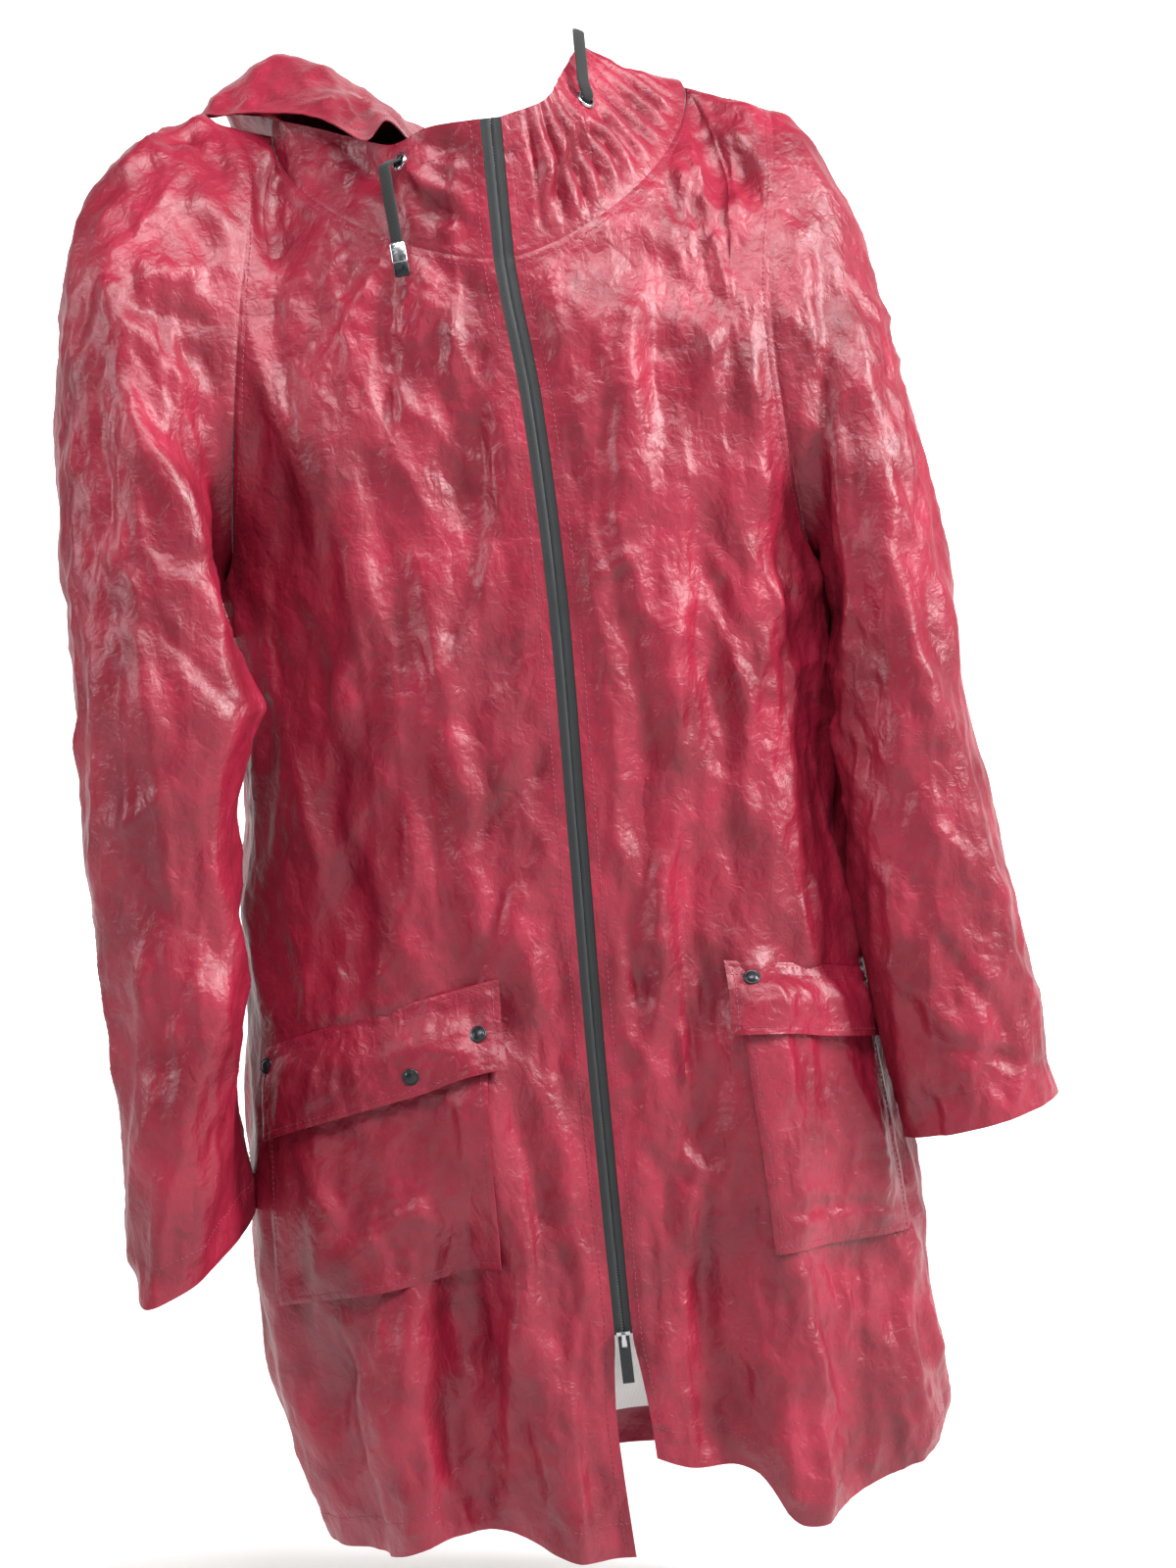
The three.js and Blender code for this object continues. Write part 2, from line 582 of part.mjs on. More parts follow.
function hoodGrid(side) {
  const neck = neckLine(side);
  const rows = hoodRows(side, neck);
  const frontCols = HOOD_FRONT_COLS[side.name];
  const grid = [];
  for (let i = 0; i <= frontCols + HOOD_BACK_COLS; i += 1) {
    const around = i <= frontCols ? (0.5 * i) / frontCols : 0.5 + (0.5 * (i - frontCols)) / HOOD_BACK_COLS;
    const row = readRow(rows, 'around', around);
    const waypoint = (name) => vec([row[`${name}X`], row[`${name}Y`], row[`${name}Z`]]);
    const points = [neck(around), ...['rise', 'drop', 'crown', 'brim'].map(waypoint)];
    const curve = new THREE.CatmullRomCurve3(points, false, 'centripetal');
    const line = [];
    for (let j = 0; j <= HOOD_ROWS; j += 1) line.push(curve.getPoint(j / HOOD_ROWS));
    grid.push(line);
  }
  return grid;
}

// Gathers up the right side of the hood, none at the seam or round the eyelet
function gatherHood(grid, side) {
  if (side.sign < 0) return grid;
  const normals = gridNormals(grid, false);
  return grid.map((line, i) => line.map((p, j) => {
    const around = (0.5 * i) / HOOD_FRONT_COLS.right;
    const share = (around - GATHERS.from) / (GATHERS.to - GATHERS.from);
    if (share <= 0 || share >= 1) return p;
    const wave = Math.sin(share * GATHERS.count * 2 * Math.PI) * smooth(share * 8) * smooth((1 - share) * 8);
    const calm = smooth(p.distanceTo(vec(EYELET_AT.right)) / GATHERS.flat - 0.6);
    const height = GATHERS.height * wave * calm * smooth((j / HOOD_ROWS) * 3);
    return p.clone().addScaledVector(normals[i][j], height);
  }));
}
const HOODS = {};
for (const side of SIDES) HOODS[side.name] = gatherHood(hoodGrid(side), side);

function addHood() {
  for (const side of SIDES) {
    addMesh(`hood_${side.name}`, clothWall(outward(HOODS[side.name], side.sign < 0)), MAROON);
  }
}

// One half of the zip's tape, from the slider to the top of the collar, between the cloth's edges
function addZipTapes() {
  for (const side of SIDES) {
    const front = FRONTS[side.name][0];
    const first = front.findIndex((p) => p.z > SLIDER_Z + 1);
    const below = front[first - 1];
    const share = (SLIDER_Z - below.z) / (front[first].z - below.z);
    const start = below.clone().lerp(front[first], share);
    const points = [start, ...front.slice(first), ...HOODS[side.name][0].slice(1)];
    const middle = points.map((p) => {
      const row = readRow(OPENING, 'z', p.z);
      return new THREE.Vector3((row.left + row.right) / 2, p.y, p.z);
    });
    const grid = side.sign > 0 ? [middle, points] : [points, middle];
    addMesh(`zip_tape_${side.name}`, clothWall(grid, false, TAPE_WALL), BLACK_TAPE);
  }
}

// A point of a grid at fractions of its columns and rows
function onGrid(grid, i, j) {
  const a = Math.min(Math.floor(i), grid.length - 2);
  const low = linePoint(grid[a], j);
  return low.lerp(linePoint(grid[a + 1], j), i - a);
}

// The columns that a patch takes from its panel: its two ends and each whole column between them
function patchColumns(inner, outer) {
  const columns = [inner];
  for (let i = Math.floor(inner) + 1; i < outer; i += 1) columns.push(i);
  return [...columns, outer];
}

// A place on one column of a grid at a height
function heightOnColumn(grid, i, z) {
  let j = 0;
  while (j < LOWER_ROWS - 1 && onGrid(grid, i, j + 1).z < z) j += 1;
  const low = onGrid(grid, i, j).z;
  return j + (z - low) / (onGrid(grid, i, j + 1).z - low);
}

// A patch lying on a front, lifted off it by a height that depends on the place
function patchGrid(side, shape, rows, lift) {
  const grid = FRONTS[side.name];
  const last = grid.length - 1;
  return patchColumns(shape.inner, shape.outer).map((i) => {
    const u = (i - shape.inner) / (shape.outer - shape.inner);
    const foot = mix(shape.footIn, shape.footOut, u);
    const top = mix(shape.topIn, shape.topOut, u);
    const line = [];
    for (let b = 0; b <= rows; b += 1) {
      const j = heightOnColumn(grid, i, mix(foot, top, b / rows));
      const across = onGrid(grid, Math.min(i + 1, last), j).sub(onGrid(grid, Math.max(i - 1, 0), j));
      const up = onGrid(grid, i, j + 0.5).sub(onGrid(grid, i, j - 0.5));
      const normal = across.cross(up).normalize().multiplyScalar(side.sign);
      line.push(onGrid(grid, i, j).addScaledVector(normal, lift(u, b / rows) + WALL));
    }
    return line;
  });
}

// The bag of the pocket stands out in the middle and lies close at the foot
function pocketPuff(side, u) {
  return 0.8 * POCKET[side.name].puff * Math.sin(Math.PI * clamp01(u));
}
function pocketLift(side, u, v) {
  return LAYER_GAP + pocketPuff(side, u) * smooth(v * 2.5);
}

// The flap is sewn on along its top and lies over the pocket's mouth below that
function flapLift(side, u, v) {
  const over = LAYER_GAP + WALL + LAYER_GAP + pocketPuff(side, u);
  const open = FLAP[side.name].lift * Math.sin(Math.PI * u) * (1 - v);
  return mix(over + open, SEWN_GAP, smooth(v * 2 - 1));
}

function addPockets() {
  for (const side of SIDES) {
    const pocket = patchGrid(side, POCKET[side.name], POCKET_ROWS, (u, v) => pocketLift(side, u, v));
    addMesh(`pocket_${side.name}`, clothWall(outward(pocket, side.sign < 0)), MAROON);
    const flap = patchGrid(side, FLAP[side.name], FLAP_ROWS, (u, v) => flapLift(side, u, v));
    addMesh(`flap_${side.name}`, clothWall(outward(flap, side.sign < 0)), MAROON_TRIM);
    addSnaps(side, flap);
  }
}

// The place on a grid nearest to a target, with the way the surface faces there
function nearestOnGrid(grid, target, side) {
  let best = { distance: Infinity };
  for (let a = 0.2; a < grid.length - 1.1; a += SEARCH_STEP) {
    for (let b = 0.2; b < grid[0].length - 1.1; b += SEARCH_STEP) {
      const distance = onGrid(grid, a, b).distanceTo(target);
      if (distance < best.distance) best = { distance, a, b };
    }
  }
  const { a, b } = best;
  const across = onGrid(grid, a + SEARCH_STEP, b).sub(onGrid(grid, a - SEARCH_STEP, b));
  const up = onGrid(grid, a, b + SEARCH_STEP).sub(onGrid(grid, a, b - SEARCH_STEP));
  return { at: onGrid(grid, a, b), normal: across.cross(up).normalize().multiplyScalar(side.sign) };
}

// A section of radii and heights turned about the vertical
function turned(section, sides) {
  return new THREE.LatheGeometry(section.map((p) => new THREE.Vector2(p[0], p[1])), sides);
}

// Snap caps: low domes standing just off the flap
function addSnaps(side, flap) {
  const section = [[0, 0], [SNAP_RADIUS, 0], [SNAP_RADIUS, 0.9], [0.75 * SNAP_RADIUS, 2.1], [0, SNAP_HEIGHT]];
  SNAPS[side.name].forEach((target, k) => {
    const { at, normal } = nearestOnGrid(flap, vec(target), side);
    const mesh = addMesh(`snap_${side.name}_${k + 1}`, turned(section, SNAP_SIDES), BLACK_METAL);
    mesh.quaternion.setFromUnitVectors(new THREE.Vector3(0, 1, 0), normal);
    mesh.position.copy(at).addScaledVector(normal, SNAP_STANDOFF);
  });
}

function rectangle(shape, x0, y0, x1, y1) {
  shape.moveTo(x0, y0);
  shape.lineTo(x1, y0);
  shape.lineTo(x1, y1);
  shape.lineTo(x0, y1);
  shape.closePath();
  return shape;
}

// Slider body, the bridge on it and the pull tab that swings on the bridge
function addSlider() {
  const body = new THREE.Shape();
  const half = SLIDER.width / 2;
  body.moveTo(-half, SLIDER.top);
  body.lineTo(-half * 0.6, -SLIDER.foot);
  body.lineTo(half * 0.6, -SLIDER.foot);
  body.lineTo(half, SLIDER.top);
  body.closePath();
  const plate = new THREE.ExtrudeGeometry(body, { depth: SLIDER.thick, bevelEnabled: false });
  const slider = addMesh('zip_slider', plate, STEEL);
  slider.rotation.x = Math.PI / 2;
  slider.position.set(ZIP_X, SLIDER_Y, SLIDER_Z);

  const front = SLIDER_Y - SLIDER.thick - GAP;
  const bar = BRIDGE.bar;
  const rise = BRIDGE.height / 2;
  const loop = rectangle(new THREE.Shape(), 0, -rise, BRIDGE.depth, rise);
  loop.holes.push(rectangle(new THREE.Path(), bar, bar - rise, BRIDGE.depth - bar, rise - bar));
  const arch = new THREE.ExtrudeGeometry(loop, { depth: BRIDGE.width, bevelEnabled: false });
  arch.translate(0, 0, -BRIDGE.width / 2);
  arch.applyMatrix4(new THREE.Matrix4().makeBasis(vec([0, -1, 0]), vec([0, 0, 1]), vec([-1, 0, 0])));
  const bridge = addMesh('zip_bridge', arch, STEEL);
  bridge.position.set(ZIP_X, front, SLIDER_Z);

  const tab = rectangle(new THREE.Shape(), -PULL.foot / 2, -PULL.length, PULL.foot / 2, PULL.bar / 2);
  const eye = BRIDGE.width / 2 + PULL.play;
  tab.holes.push(rectangle(new THREE.Path(), -eye, -PULL.eye, eye, -PULL.bar / 2));
  const plateTab = new THREE.ExtrudeGeometry(tab, { depth: PULL.bar, bevelEnabled: false });
  const pull = addMesh('zip_pull', plateTab, BLACK_METAL);
  pull.rotation.x = Math.PI / 2;
  pull.position.set(ZIP_X, front - BRIDGE.depth / 2 + PULL.bar / 2, SLIDER_Z);
}

// A flat braid along its route of points
function cordGeometry(route) {
  const shape = new THREE.Shape();
  for (let k = 0; k < CORD.sides; k += 1) {
    const angle = (k / CORD.sides) * 2 * Math.PI;
    const x = (CORD.thick / 2) * Math.cos(angle);
    const y = (CORD.width / 2) * Math.sign(Math.sin(angle)) * Math.abs(Math.sin(angle)) ** 0.8;
    if (k === 0) shape.moveTo(x, y);
    else shape.lineTo(x, y);
  }
  shape.closePath();
  const path = new THREE.CatmullRomCurve3(route, false, 'centripetal');
  return new THREE.ExtrudeGeometry(shape, { steps: CORD.steps, extrudePath: path });
}

// The eyelet's metal ring as a turned section
function eyeletGeometry() {
  const { hole, rim, height } = EYELET;
  return turned([[hole, 0], [rim, 0], [rim - 0.6, height], [hole, height], [hole, 0]], 20);
}

// On each side an eyelet on the hood, the cord that leaves it and the tip at the cord's end
function addCords() {
  const up = new THREE.Vector3(0, 1, 0);
  for (const side of SIDES) {
    const { at, normal } = nearestOnGrid(HOODS[side.name], vec(EYELET_AT[side.name]), side);
    const eyelet = addMesh(`eyelet_${side.name}`, eyeletGeometry(), STEEL);
    eyelet.quaternion.setFromUnitVectors(up, normal);
    eyelet.position.copy(at).addScaledVector(normal, EYELET.standoff);

    const start = at.clone().addScaledVector(normal, CORD_START);
    const rise = at.clone().addScaledVector(normal, CORD_RISE);
    const route = [start, rise, ...CORD_ROUTE[side.name].map(vec)];
    addMesh(`cord_${side.name}`, cordGeometry(route), BLACK_CORD);
    const end = route.at(-1);
    const heading = end.clone().sub(route.at(-2)).normalize();
    const block = new THREE.BoxGeometry(TIP.width, TIP.length, TIP.thick);
    const tip = addMesh(`cord_tip_${side.name}`, block, BLACK_METAL);
    tip.quaternion.setFromUnitVectors(up, heading);
    tip.position.copy(end).addScaledVector(heading, TIP.length / 2 + GAP);
  }
}

addFronts();
addBack();
addSleeves();
addHood();
addZipTapes();
addPockets();
addSlider();
addCords();

export default model;
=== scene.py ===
import math

import bpy
import numpy as np
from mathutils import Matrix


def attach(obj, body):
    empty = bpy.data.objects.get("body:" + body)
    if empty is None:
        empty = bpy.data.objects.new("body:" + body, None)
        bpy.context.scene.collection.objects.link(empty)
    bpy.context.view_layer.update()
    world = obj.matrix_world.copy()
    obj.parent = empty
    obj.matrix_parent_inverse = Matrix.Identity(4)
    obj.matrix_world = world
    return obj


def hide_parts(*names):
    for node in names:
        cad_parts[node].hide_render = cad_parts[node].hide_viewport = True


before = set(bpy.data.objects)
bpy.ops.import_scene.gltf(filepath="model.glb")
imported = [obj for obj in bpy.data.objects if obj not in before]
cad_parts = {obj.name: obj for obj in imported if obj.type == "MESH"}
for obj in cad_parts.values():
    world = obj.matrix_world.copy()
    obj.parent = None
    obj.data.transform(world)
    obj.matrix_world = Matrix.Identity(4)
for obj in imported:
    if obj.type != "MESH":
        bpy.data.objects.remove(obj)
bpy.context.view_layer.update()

# Millimetres in every table here; meshes are written in metres.
MM = 0.001
COAT = "coat"


# Camera

CAMERA_AT = (0.022, -2.089, -0.251)
CAMERA_DOWN = math.radians(6.0)
CAMERA_ROLL = math.radians(6.5)
LENS_MM, FILM_HEIGHT_MM = 67.5, 36.0


def add_camera():
    """Camera at the photograph's place: looks 6 degrees down, turned 6.5 degrees about its own line of sight."""
    data = bpy.data.cameras.new("camera")
    data.lens = LENS_MM
    data.sensor_fit = "VERTICAL"
    data.sensor_height = FILM_HEIGHT_MM
    camera = bpy.data.objects.new("camera", data)
    camera.location = CAMERA_AT
    camera.rotation_euler = (math.pi / 2 - CAMERA_DOWN, 0.0, 0.0)
    camera.rotation_euler.rotate_axis("Z", -CAMERA_ROLL)
    bpy.context.scene.collection.objects.link(camera)
    bpy.context.scene.camera = camera


add_camera()


# Arithmetic


def smooth(v):
    """Rises from 0 to 1 with level ends."""
    v = np.clip(v, 0.0, 1.0)
    return v * v * (3.0 - 2.0 * v)


def mix(a, b, f):
    """The value a share f of the way from a to b."""
    return a + (b - a) * f


def bump(distance, width):
    """A bell over a distance, 1 in the middle and about a third at one width."""
    return np.exp(-((distance / width) ** 2))


def spread(count, near, gain=1.5):
    """Shares from 0 to 1 that lie closer together near both ends."""
    t = np.linspace(0.0, 1.0, 600)
    density = 1.0 + gain * (bump(t, near) + bump(1.0 - t, near))
    total = np.concatenate([[0.0], np.cumsum((density[1:] + density[:-1]) / 2)])
    return np.interp(np.linspace(0.0, total[-1], count + 1), total, t)


def unit(v):
    """Vectors of length 1."""
    return v / np.maximum(np.linalg.norm(v, axis=-1, keepdims=True), 1e-9)


def turn_angles(count):
    """Angles of a full turn in equal steps, the last one short of the first."""
    return np.arange(count) * 2 * math.pi / count


def run_along(points):
    """Distance along a line of points from its first to each of them."""
    return np.concatenate([[0.0], np.cumsum(np.linalg.norm(np.diff(points, axis=0), axis=1))])


def cells(ids):
    """Corners of every cell of a grid of point numbers, one row of four for each."""
    return np.stack([ids[:-1, :-1], ids[1:, :-1], ids[1:, 1:], ids[:-1, 1:]], -1).reshape(-1, 4)


def halves(quads):
    """Two triangles for each cell, split from its first corner."""
    return np.concatenate([quads[:, [0, 3, 2]], quads[:, [0, 2, 1]]])


def outwards(points, faces):
    """Triangles turned so that the volume that they close is positive."""
    p = points[faces]
    return faces[:, ::-1] if (p[:, 0] * np.cross(p[:, 1], p[:, 2])).sum() < 0 else faces


def hermite(a, b, slope_a, slope_b, f):
    """A smooth curve between two values with given slopes."""
    g = f * f
    h = g * f
    return a * (2 * h - 3 * g + 1) + slope_a * (h - 2 * g + f) + b * (3 * g - 2 * h) + slope_b * (h - g)


def read_table(rows, at):
    """Every column of a table of rows, read smoothly at values of its first column. Gives one array per column."""
    table = np.array(rows, float)
    last = len(table) - 1
    key = table[:, 0]
    at = np.asarray(at, float)
    i = np.clip(np.searchsorted(key, at) - 1, 0, last - 1)
    before, after = np.maximum(i - 1, 0), np.minimum(i + 2, last)
    span = key[i + 1] - key[i]
    f = np.clip((at - key[i]) / span, 0.0, 1.0)[..., None]
    slope_a = (table[i + 1] - table[before]) / (key[i + 1] - key[before])[..., None] * span[..., None]
    slope_b = (table[after] - table[i]) / (key[after] - key[i])[..., None] * span[..., None]
    out = hermite(table[i], table[i + 1], slope_a, slope_b, f)
    return np.moveaxis(out, -1, 0)


def rounded_path(points, t, closed):
    """Centripetal Catmull-Rom curve through points of shape (n, ..., 3), at shares t of its spans."""
    points = np.asarray(points, float)
    count = len(points)
    if closed:
        knots = points
        place = (np.asarray(t) % 1.0) * count
        i = np.floor(place).astype(int) % count
        pick = lambda k: knots[(i + k) % count]
    else:
        first = 2 * points[0] - points[1]
        final = 2 * points[-1] - points[-2]
        knots = np.concatenate([first[None], points, final[None]])
        place = np.asarray(t) * (count - 1)
        i = np.minimum(np.floor(place).astype(int), count - 2)
        pick = lambda k: knots[i + k + 1]
    w = (place - np.floor(place)) if closed else place - i
    p0, p1, p2, p3 = pick(-1), pick(0), pick(1), pick(2)
    gap = lambda a, b: np.maximum(((a - b) ** 2).sum(-1, keepdims=True) ** 0.25, 1e-4)
    d0, d1, d2 = gap(p0, p1), gap(p1, p2), gap(p2, p3)
    t1 = ((p1 - p0) / d0 - (p2 - p0) / (d0 + d1) + (p2 - p1) / d1) * d1
    t2 = ((p2 - p1) / d1 - (p3 - p1) / (d1 + d2) + (p3 - p2) / d2) * d1
    w = w.reshape(w.shape + (1,) * (p1.ndim - w.ndim))
    return p1 + t1 * w + (-3 * p1 + 3 * p2 - 2 * t1 - t2) * w**2 + (2 * p1 - 2 * p2 + t1 + t2) * w**3


# Noise for the cloth

NOISE_VALUES = np.random.default_rng(7).uniform(-1.0, 1.0, 4096)


def slow_noise(p, seed):
    """Smooth values from -1 to 1 on a unit grid in space, blended between the grid's corners."""
    cell = np.floor(p).astype(np.int64)
    f = smooth(p - cell)
    out = 0.0
    for corner in range(8):
        step = np.array([corner & 1, (corner >> 1) & 1, corner >> 2])
        c = cell + step
        key = (c[..., 0] * 73856093) ^ (c[..., 1] * 19349663) ^ (c[..., 2] * 83492791) ^ (seed * 2654435)
        weight = np.prod(np.where(step == 1, f, 1.0 - f), axis=-1)
        out = out + NOISE_VALUES[key & 4095] * weight
    return out


def crumple(p, size, seed, count):
    """Straight sharp creases in several directions, most of them steep, each bent a little and shown only in
    patches: a triangle wave along a slowly bent coordinate. Gives a height in mm for creases size mm apart."""
    rng = np.random.default_rng(seed)
    out = 0.0
    for k in range(count):
        across = rng.normal(size=3) * (1.0, 1.0, 0.6)
        across /= np.linalg.norm(across)
        pitch = size * rng.uniform(0.7, 1.5)
        phase = p @ across / pitch + 0.8 * slow_noise(p / (pitch * 2.4), seed + k) + rng.uniform()
        ridge = 1.0 - np.abs((phase % 1.0) * 2.0 - 1.0)
        patch = smooth(slow_noise(p / (pitch * 1.9), seed + 31 + k) * 1.6 + 0.25)
        out = out + (ridge**1.6 - 0.38) * patch * pitch
    return out * 0.085


def facets(p, size, seed):
    """Facets of crumpled film, about size mm across: a slow noise folded over where it changes sign, so that
    smooth slopes meet in sharp creases, crossed by a second such noise."""
    turn, _ = np.linalg.qr(np.random.default_rng(seed).normal(size=(3, 3)))
    q = p @ turn / size
    first = np.abs(slow_noise(q, seed))
    second = np.abs(slow_noise(q * 1.37 + 5.3, seed + 9))
    return (0.5 - first - 0.6 * second) * size


# Sizes shared with the solids

WALL = 1.0
CHEST_Z = -325.0
NECK_FRONT = (-110.0, -103.0)
NECK_BACK = (10.0, 62.0, -10.0)
NECK_SIDE = {-1: (-146, 0, 6), 1: (144, 0, 8)}
ARMPIT_Z = {-1: -303.0, 1: -350.0}
LOWER_ROWS = 18
UPPER_ROWS = 10
NECK_SHARE = {-1: 12 / 16, 1: 8 / 11}
SLIDER_Z = -837.0

# z, left, right, front, back, blunt
BODY = [
    (-1015, 220, 206, 134, 128, 0.8),
    (-940, 241, 229, 134, 130, 0.8),
    (-850, 255, 228, 130, 124, 0.8),
    (-745, 254, 222, 126, 116, 0.8),
    (-640, 243, 212, 124, 112, 0.8),
    (-510, 228, 203, 122, 108, 0.78),
    (-430, 220, 199, 121, 105, 0.74),
    (-350, 213, 200, 120, 103, 0.7),
    (-303, 211, 199, 119, 101, 0.66),
    (-200, 203, 194, 116, 96, 0.55),
    (-103, 196, 190, 110, 86, 0.5),
    (-10, 190, 186, 100, 62, 0.5),
]
# z, left edge, right edge
OPENING = [
    (-1015, -4, 20),
    (-930, -7, 17),
    (-893, -7.5, 15.5),
    (-862, -5.5, 12.5),
    (-838, -2.8, 9.8),
    (-760, -1.8, 10.8),
    (-625, 0.6, 13.4),
    (-490, 4.6, 17.8),
    (-330, 9, 22.6),
    (-200, 6.5, 20.5),
    (-103, -1, 13),
    (-11.5, 0.2, 14.8),
]
# across, z
HEM_FRONT = {
    -1: [(0, -992), (40, -988), (118, -966), (185, -982), (240, -994)],
    1: [(0, -914), (36, -932), (84, -943), (108, -978), (142, -978), (200, -970), (232, -950)],
}
HEM_BACK_Z = -1000.0
# top, down the front, under the arm, up the back
ARMHOLE = {
    -1: [(-172, 0, 14), (-160, -46, -22), (-177, -88, -128), (-193, -84, -222), None,
         (-204, 52, -262), (-194, 70, -165), (-183, 40, -42)],
    1: [(201, 0, -15), (197, -45, -55), (181, -88, -150), (184, -86, -262), None,
        (197, 52, -300), (189, 72, -180), (197, 40, -55)],
}
SLEEVE_LEAVE = {-1: ((-465, -200, 104), (-100, -40, -5)), 1: ((165, 0, -45), (75, -10, -10))}
SLEEVE_ARRIVE = {-1: (350, 80), 1: (380, 90)}
# depth, x, y, half along, half across, turn, tilt
SLEEVE_RINGS = {
    -1: [
        (385, -250, -112, 61, 51.5, 0, 0),
        (450, -266, -110, 49.5, 48.5, 12, 0),
        (510, -268.5, -106, 51.5, 45.5, 32, 1),
        (564, -271.5, -102, 55.5, 42.5, 58, 4),
        (650, -279.5, -98, 59.5, 37.5, 92, 10),
        (720, -282.5, -96, 62.5, 29.5, 112, 17),
        (755, -283.5, -98, 63.5, 24.5, 119, 20),
    ],
    1: [
        (420, 240.5, -62, 46, 58, 0, 0),
        (540, 249.5, -70, 52, 55, 0, 2),
        (640, 260, -76, 55, 52, 0, 6),
        (721, 268.5, -78, 55, 48.5, 0, 9.5),
    ],
}
# face, x0, z0, x1, z1, width, height
FOLDS = [
    (-1, -24, -190, -50, -330, 16, -9),
    (-1, -60, -300, -95, -560, 22, 8),
    (-1, -118, -150, -128, -450, 20, 7),
    (-1, -165, -330, -150, -560, 20, -8),
    (-1, -62, -640, -35, -1010, 26, 22),
    (-1, -95, -760, -92, -1010, 24, -16),
    (-1, -160, -770, -150, -1010, 26, 14),
    (-1, -205, -820, -200, -1010, 22, -12),
    (-1, 92, -170, 70, -420, 20, 7),
    (-1, 125, -280, 112, -560, 18, -7),
    (-1, 60, -520, 58, -780, 18, 8),
    (-1, 112, -620, 118, -1000, 24, 17),
    (-1, 72, -780, 74, -960, 22, -12),
    (-1, 168, -800, 172, -1000, 24, -14),
    (1, -130, -250, -150, -1000, 30, 14),
    (1, -70, -350, -80, -1000, 28, -14),
    (1, -10, -300, -12, -1000, 30, 13),
    (1, 50, -420, 58, -1000, 28, -13),
    (1, 118, -260, 132, -1000, 30, 14),
]
FOLD_TAPER = 70.0
SEAM_FADE = 0.12

# Creases listed one by one, as the front view shows them: x0, z0, x1, z1, width, height
BODY_CREASES = [
    (-113, -229, -102, -398, 8, 4),
    (-80, -296, -69, -394, 7, 3.5),
    (-21, -190, -36, -329, 5, -3.5),
    (-34, -325, -65, -358, 5, -4),
    (-19, -294, -61, -382, 6, 3),
    (-136, -281, -124, -414, 7, -3),
    (-134, -112, -132, -255, 10, 3),
    (-72, -138, -93, -227, 8, -2.5),
    (-44, -122, -60, -198, 7, 2.5),
    (-171, -277, -191, -367, 7, -3.5),
    (-178, -408, -163, -504, 7, 3),
    (-144, -459, -105, -578, 7, 3),
    (-64, -395, -61, -596, 10, 5),
    (-90, -418, -77, -567, 8, -3.5),
    (8, -350, -36, -388, 5, -3),
    (11, -390, -36, -445, 5, 3),
    (-2, -435, -61, -488, 5, -3),
    (10, -477, -43, -558, 6, 3.5),
    (-30, -506, -74, -581, 5, -3),
    (5, -550, -36, -640, 6, -3.5),
    (-62, -610, -33, -709, 7, 5),
    (-33, -709, -16, -793, 7, 5),
    (-16, -793, -21, -989, 8, 5),
    (-19, -588, -4, -781, 12, -6),
    (-123, -731, -174, -765, 5, 4),
    (-123, -731, -109, -756, 5, 3.5),
    (-156, -777, -202, -876, 9, -5),
    (-122, -774, -164, -901, 10, 5),
    (-190, -725, -211, -840, 8, 4),
    (-105, -804, -137, -961, 12, -5),
    (-65, -808, -90, -966, 10, 4),
    (-223, -769, -208, -924, 9, -4),
    (-206, -689, -182, -740, 5, 3),
    (-173, -858, -151, -959, 6, 3),
    (85, -137, 62, -290, 9, 3.5),
    (110, -140, 91, -267, 9, -3),
    (152, -112, 128, -219, 10, 3.5),
    (108, -282, 81, -465, 8, 4),
    (45, -321, 72, -305, 5, 3),
    (118, -307, 142, -365, 6, 3.5),
    (130, -364, 125, -497, 8, 3.5),
    (73, -357, 50, -501, 8, -3.5),
    (46, -394, 41, -527, 7, 3),
    (173, -257, 164, -447, 8, -4),
    (170, -166, 165, -302, 8, 3),
    (183, -410, 187, -584, 8, -4),
    (79, -484, 57, -569, 6, 3.5),
    (96, -507, 73, -598, 6, -3),
    (113, -603, 88, -737, 8, 4),
    (88, -737, 100, -911, 9, 5),
    (100, -911, 109, -969, 9, 5),
    (61, -529, 28, -730, 8, 3),
    (66, -604, 87, -688, 5, -3),
    (60, -720, 83, -750, 5, 4),
    (27, -647, 51, -801, 8, -4),
    (66, -782, 58, -920, 9, -4),
    (123, -761, 212, -782, 4, -2.5),
    (144, -812, 158, -939, 9, 4),
    (181, -789, 194, -887, 8, -4),
    (35, -820, 30, -924, 8, 4),
    (204, -819, 206, -903, 6, 3),
]
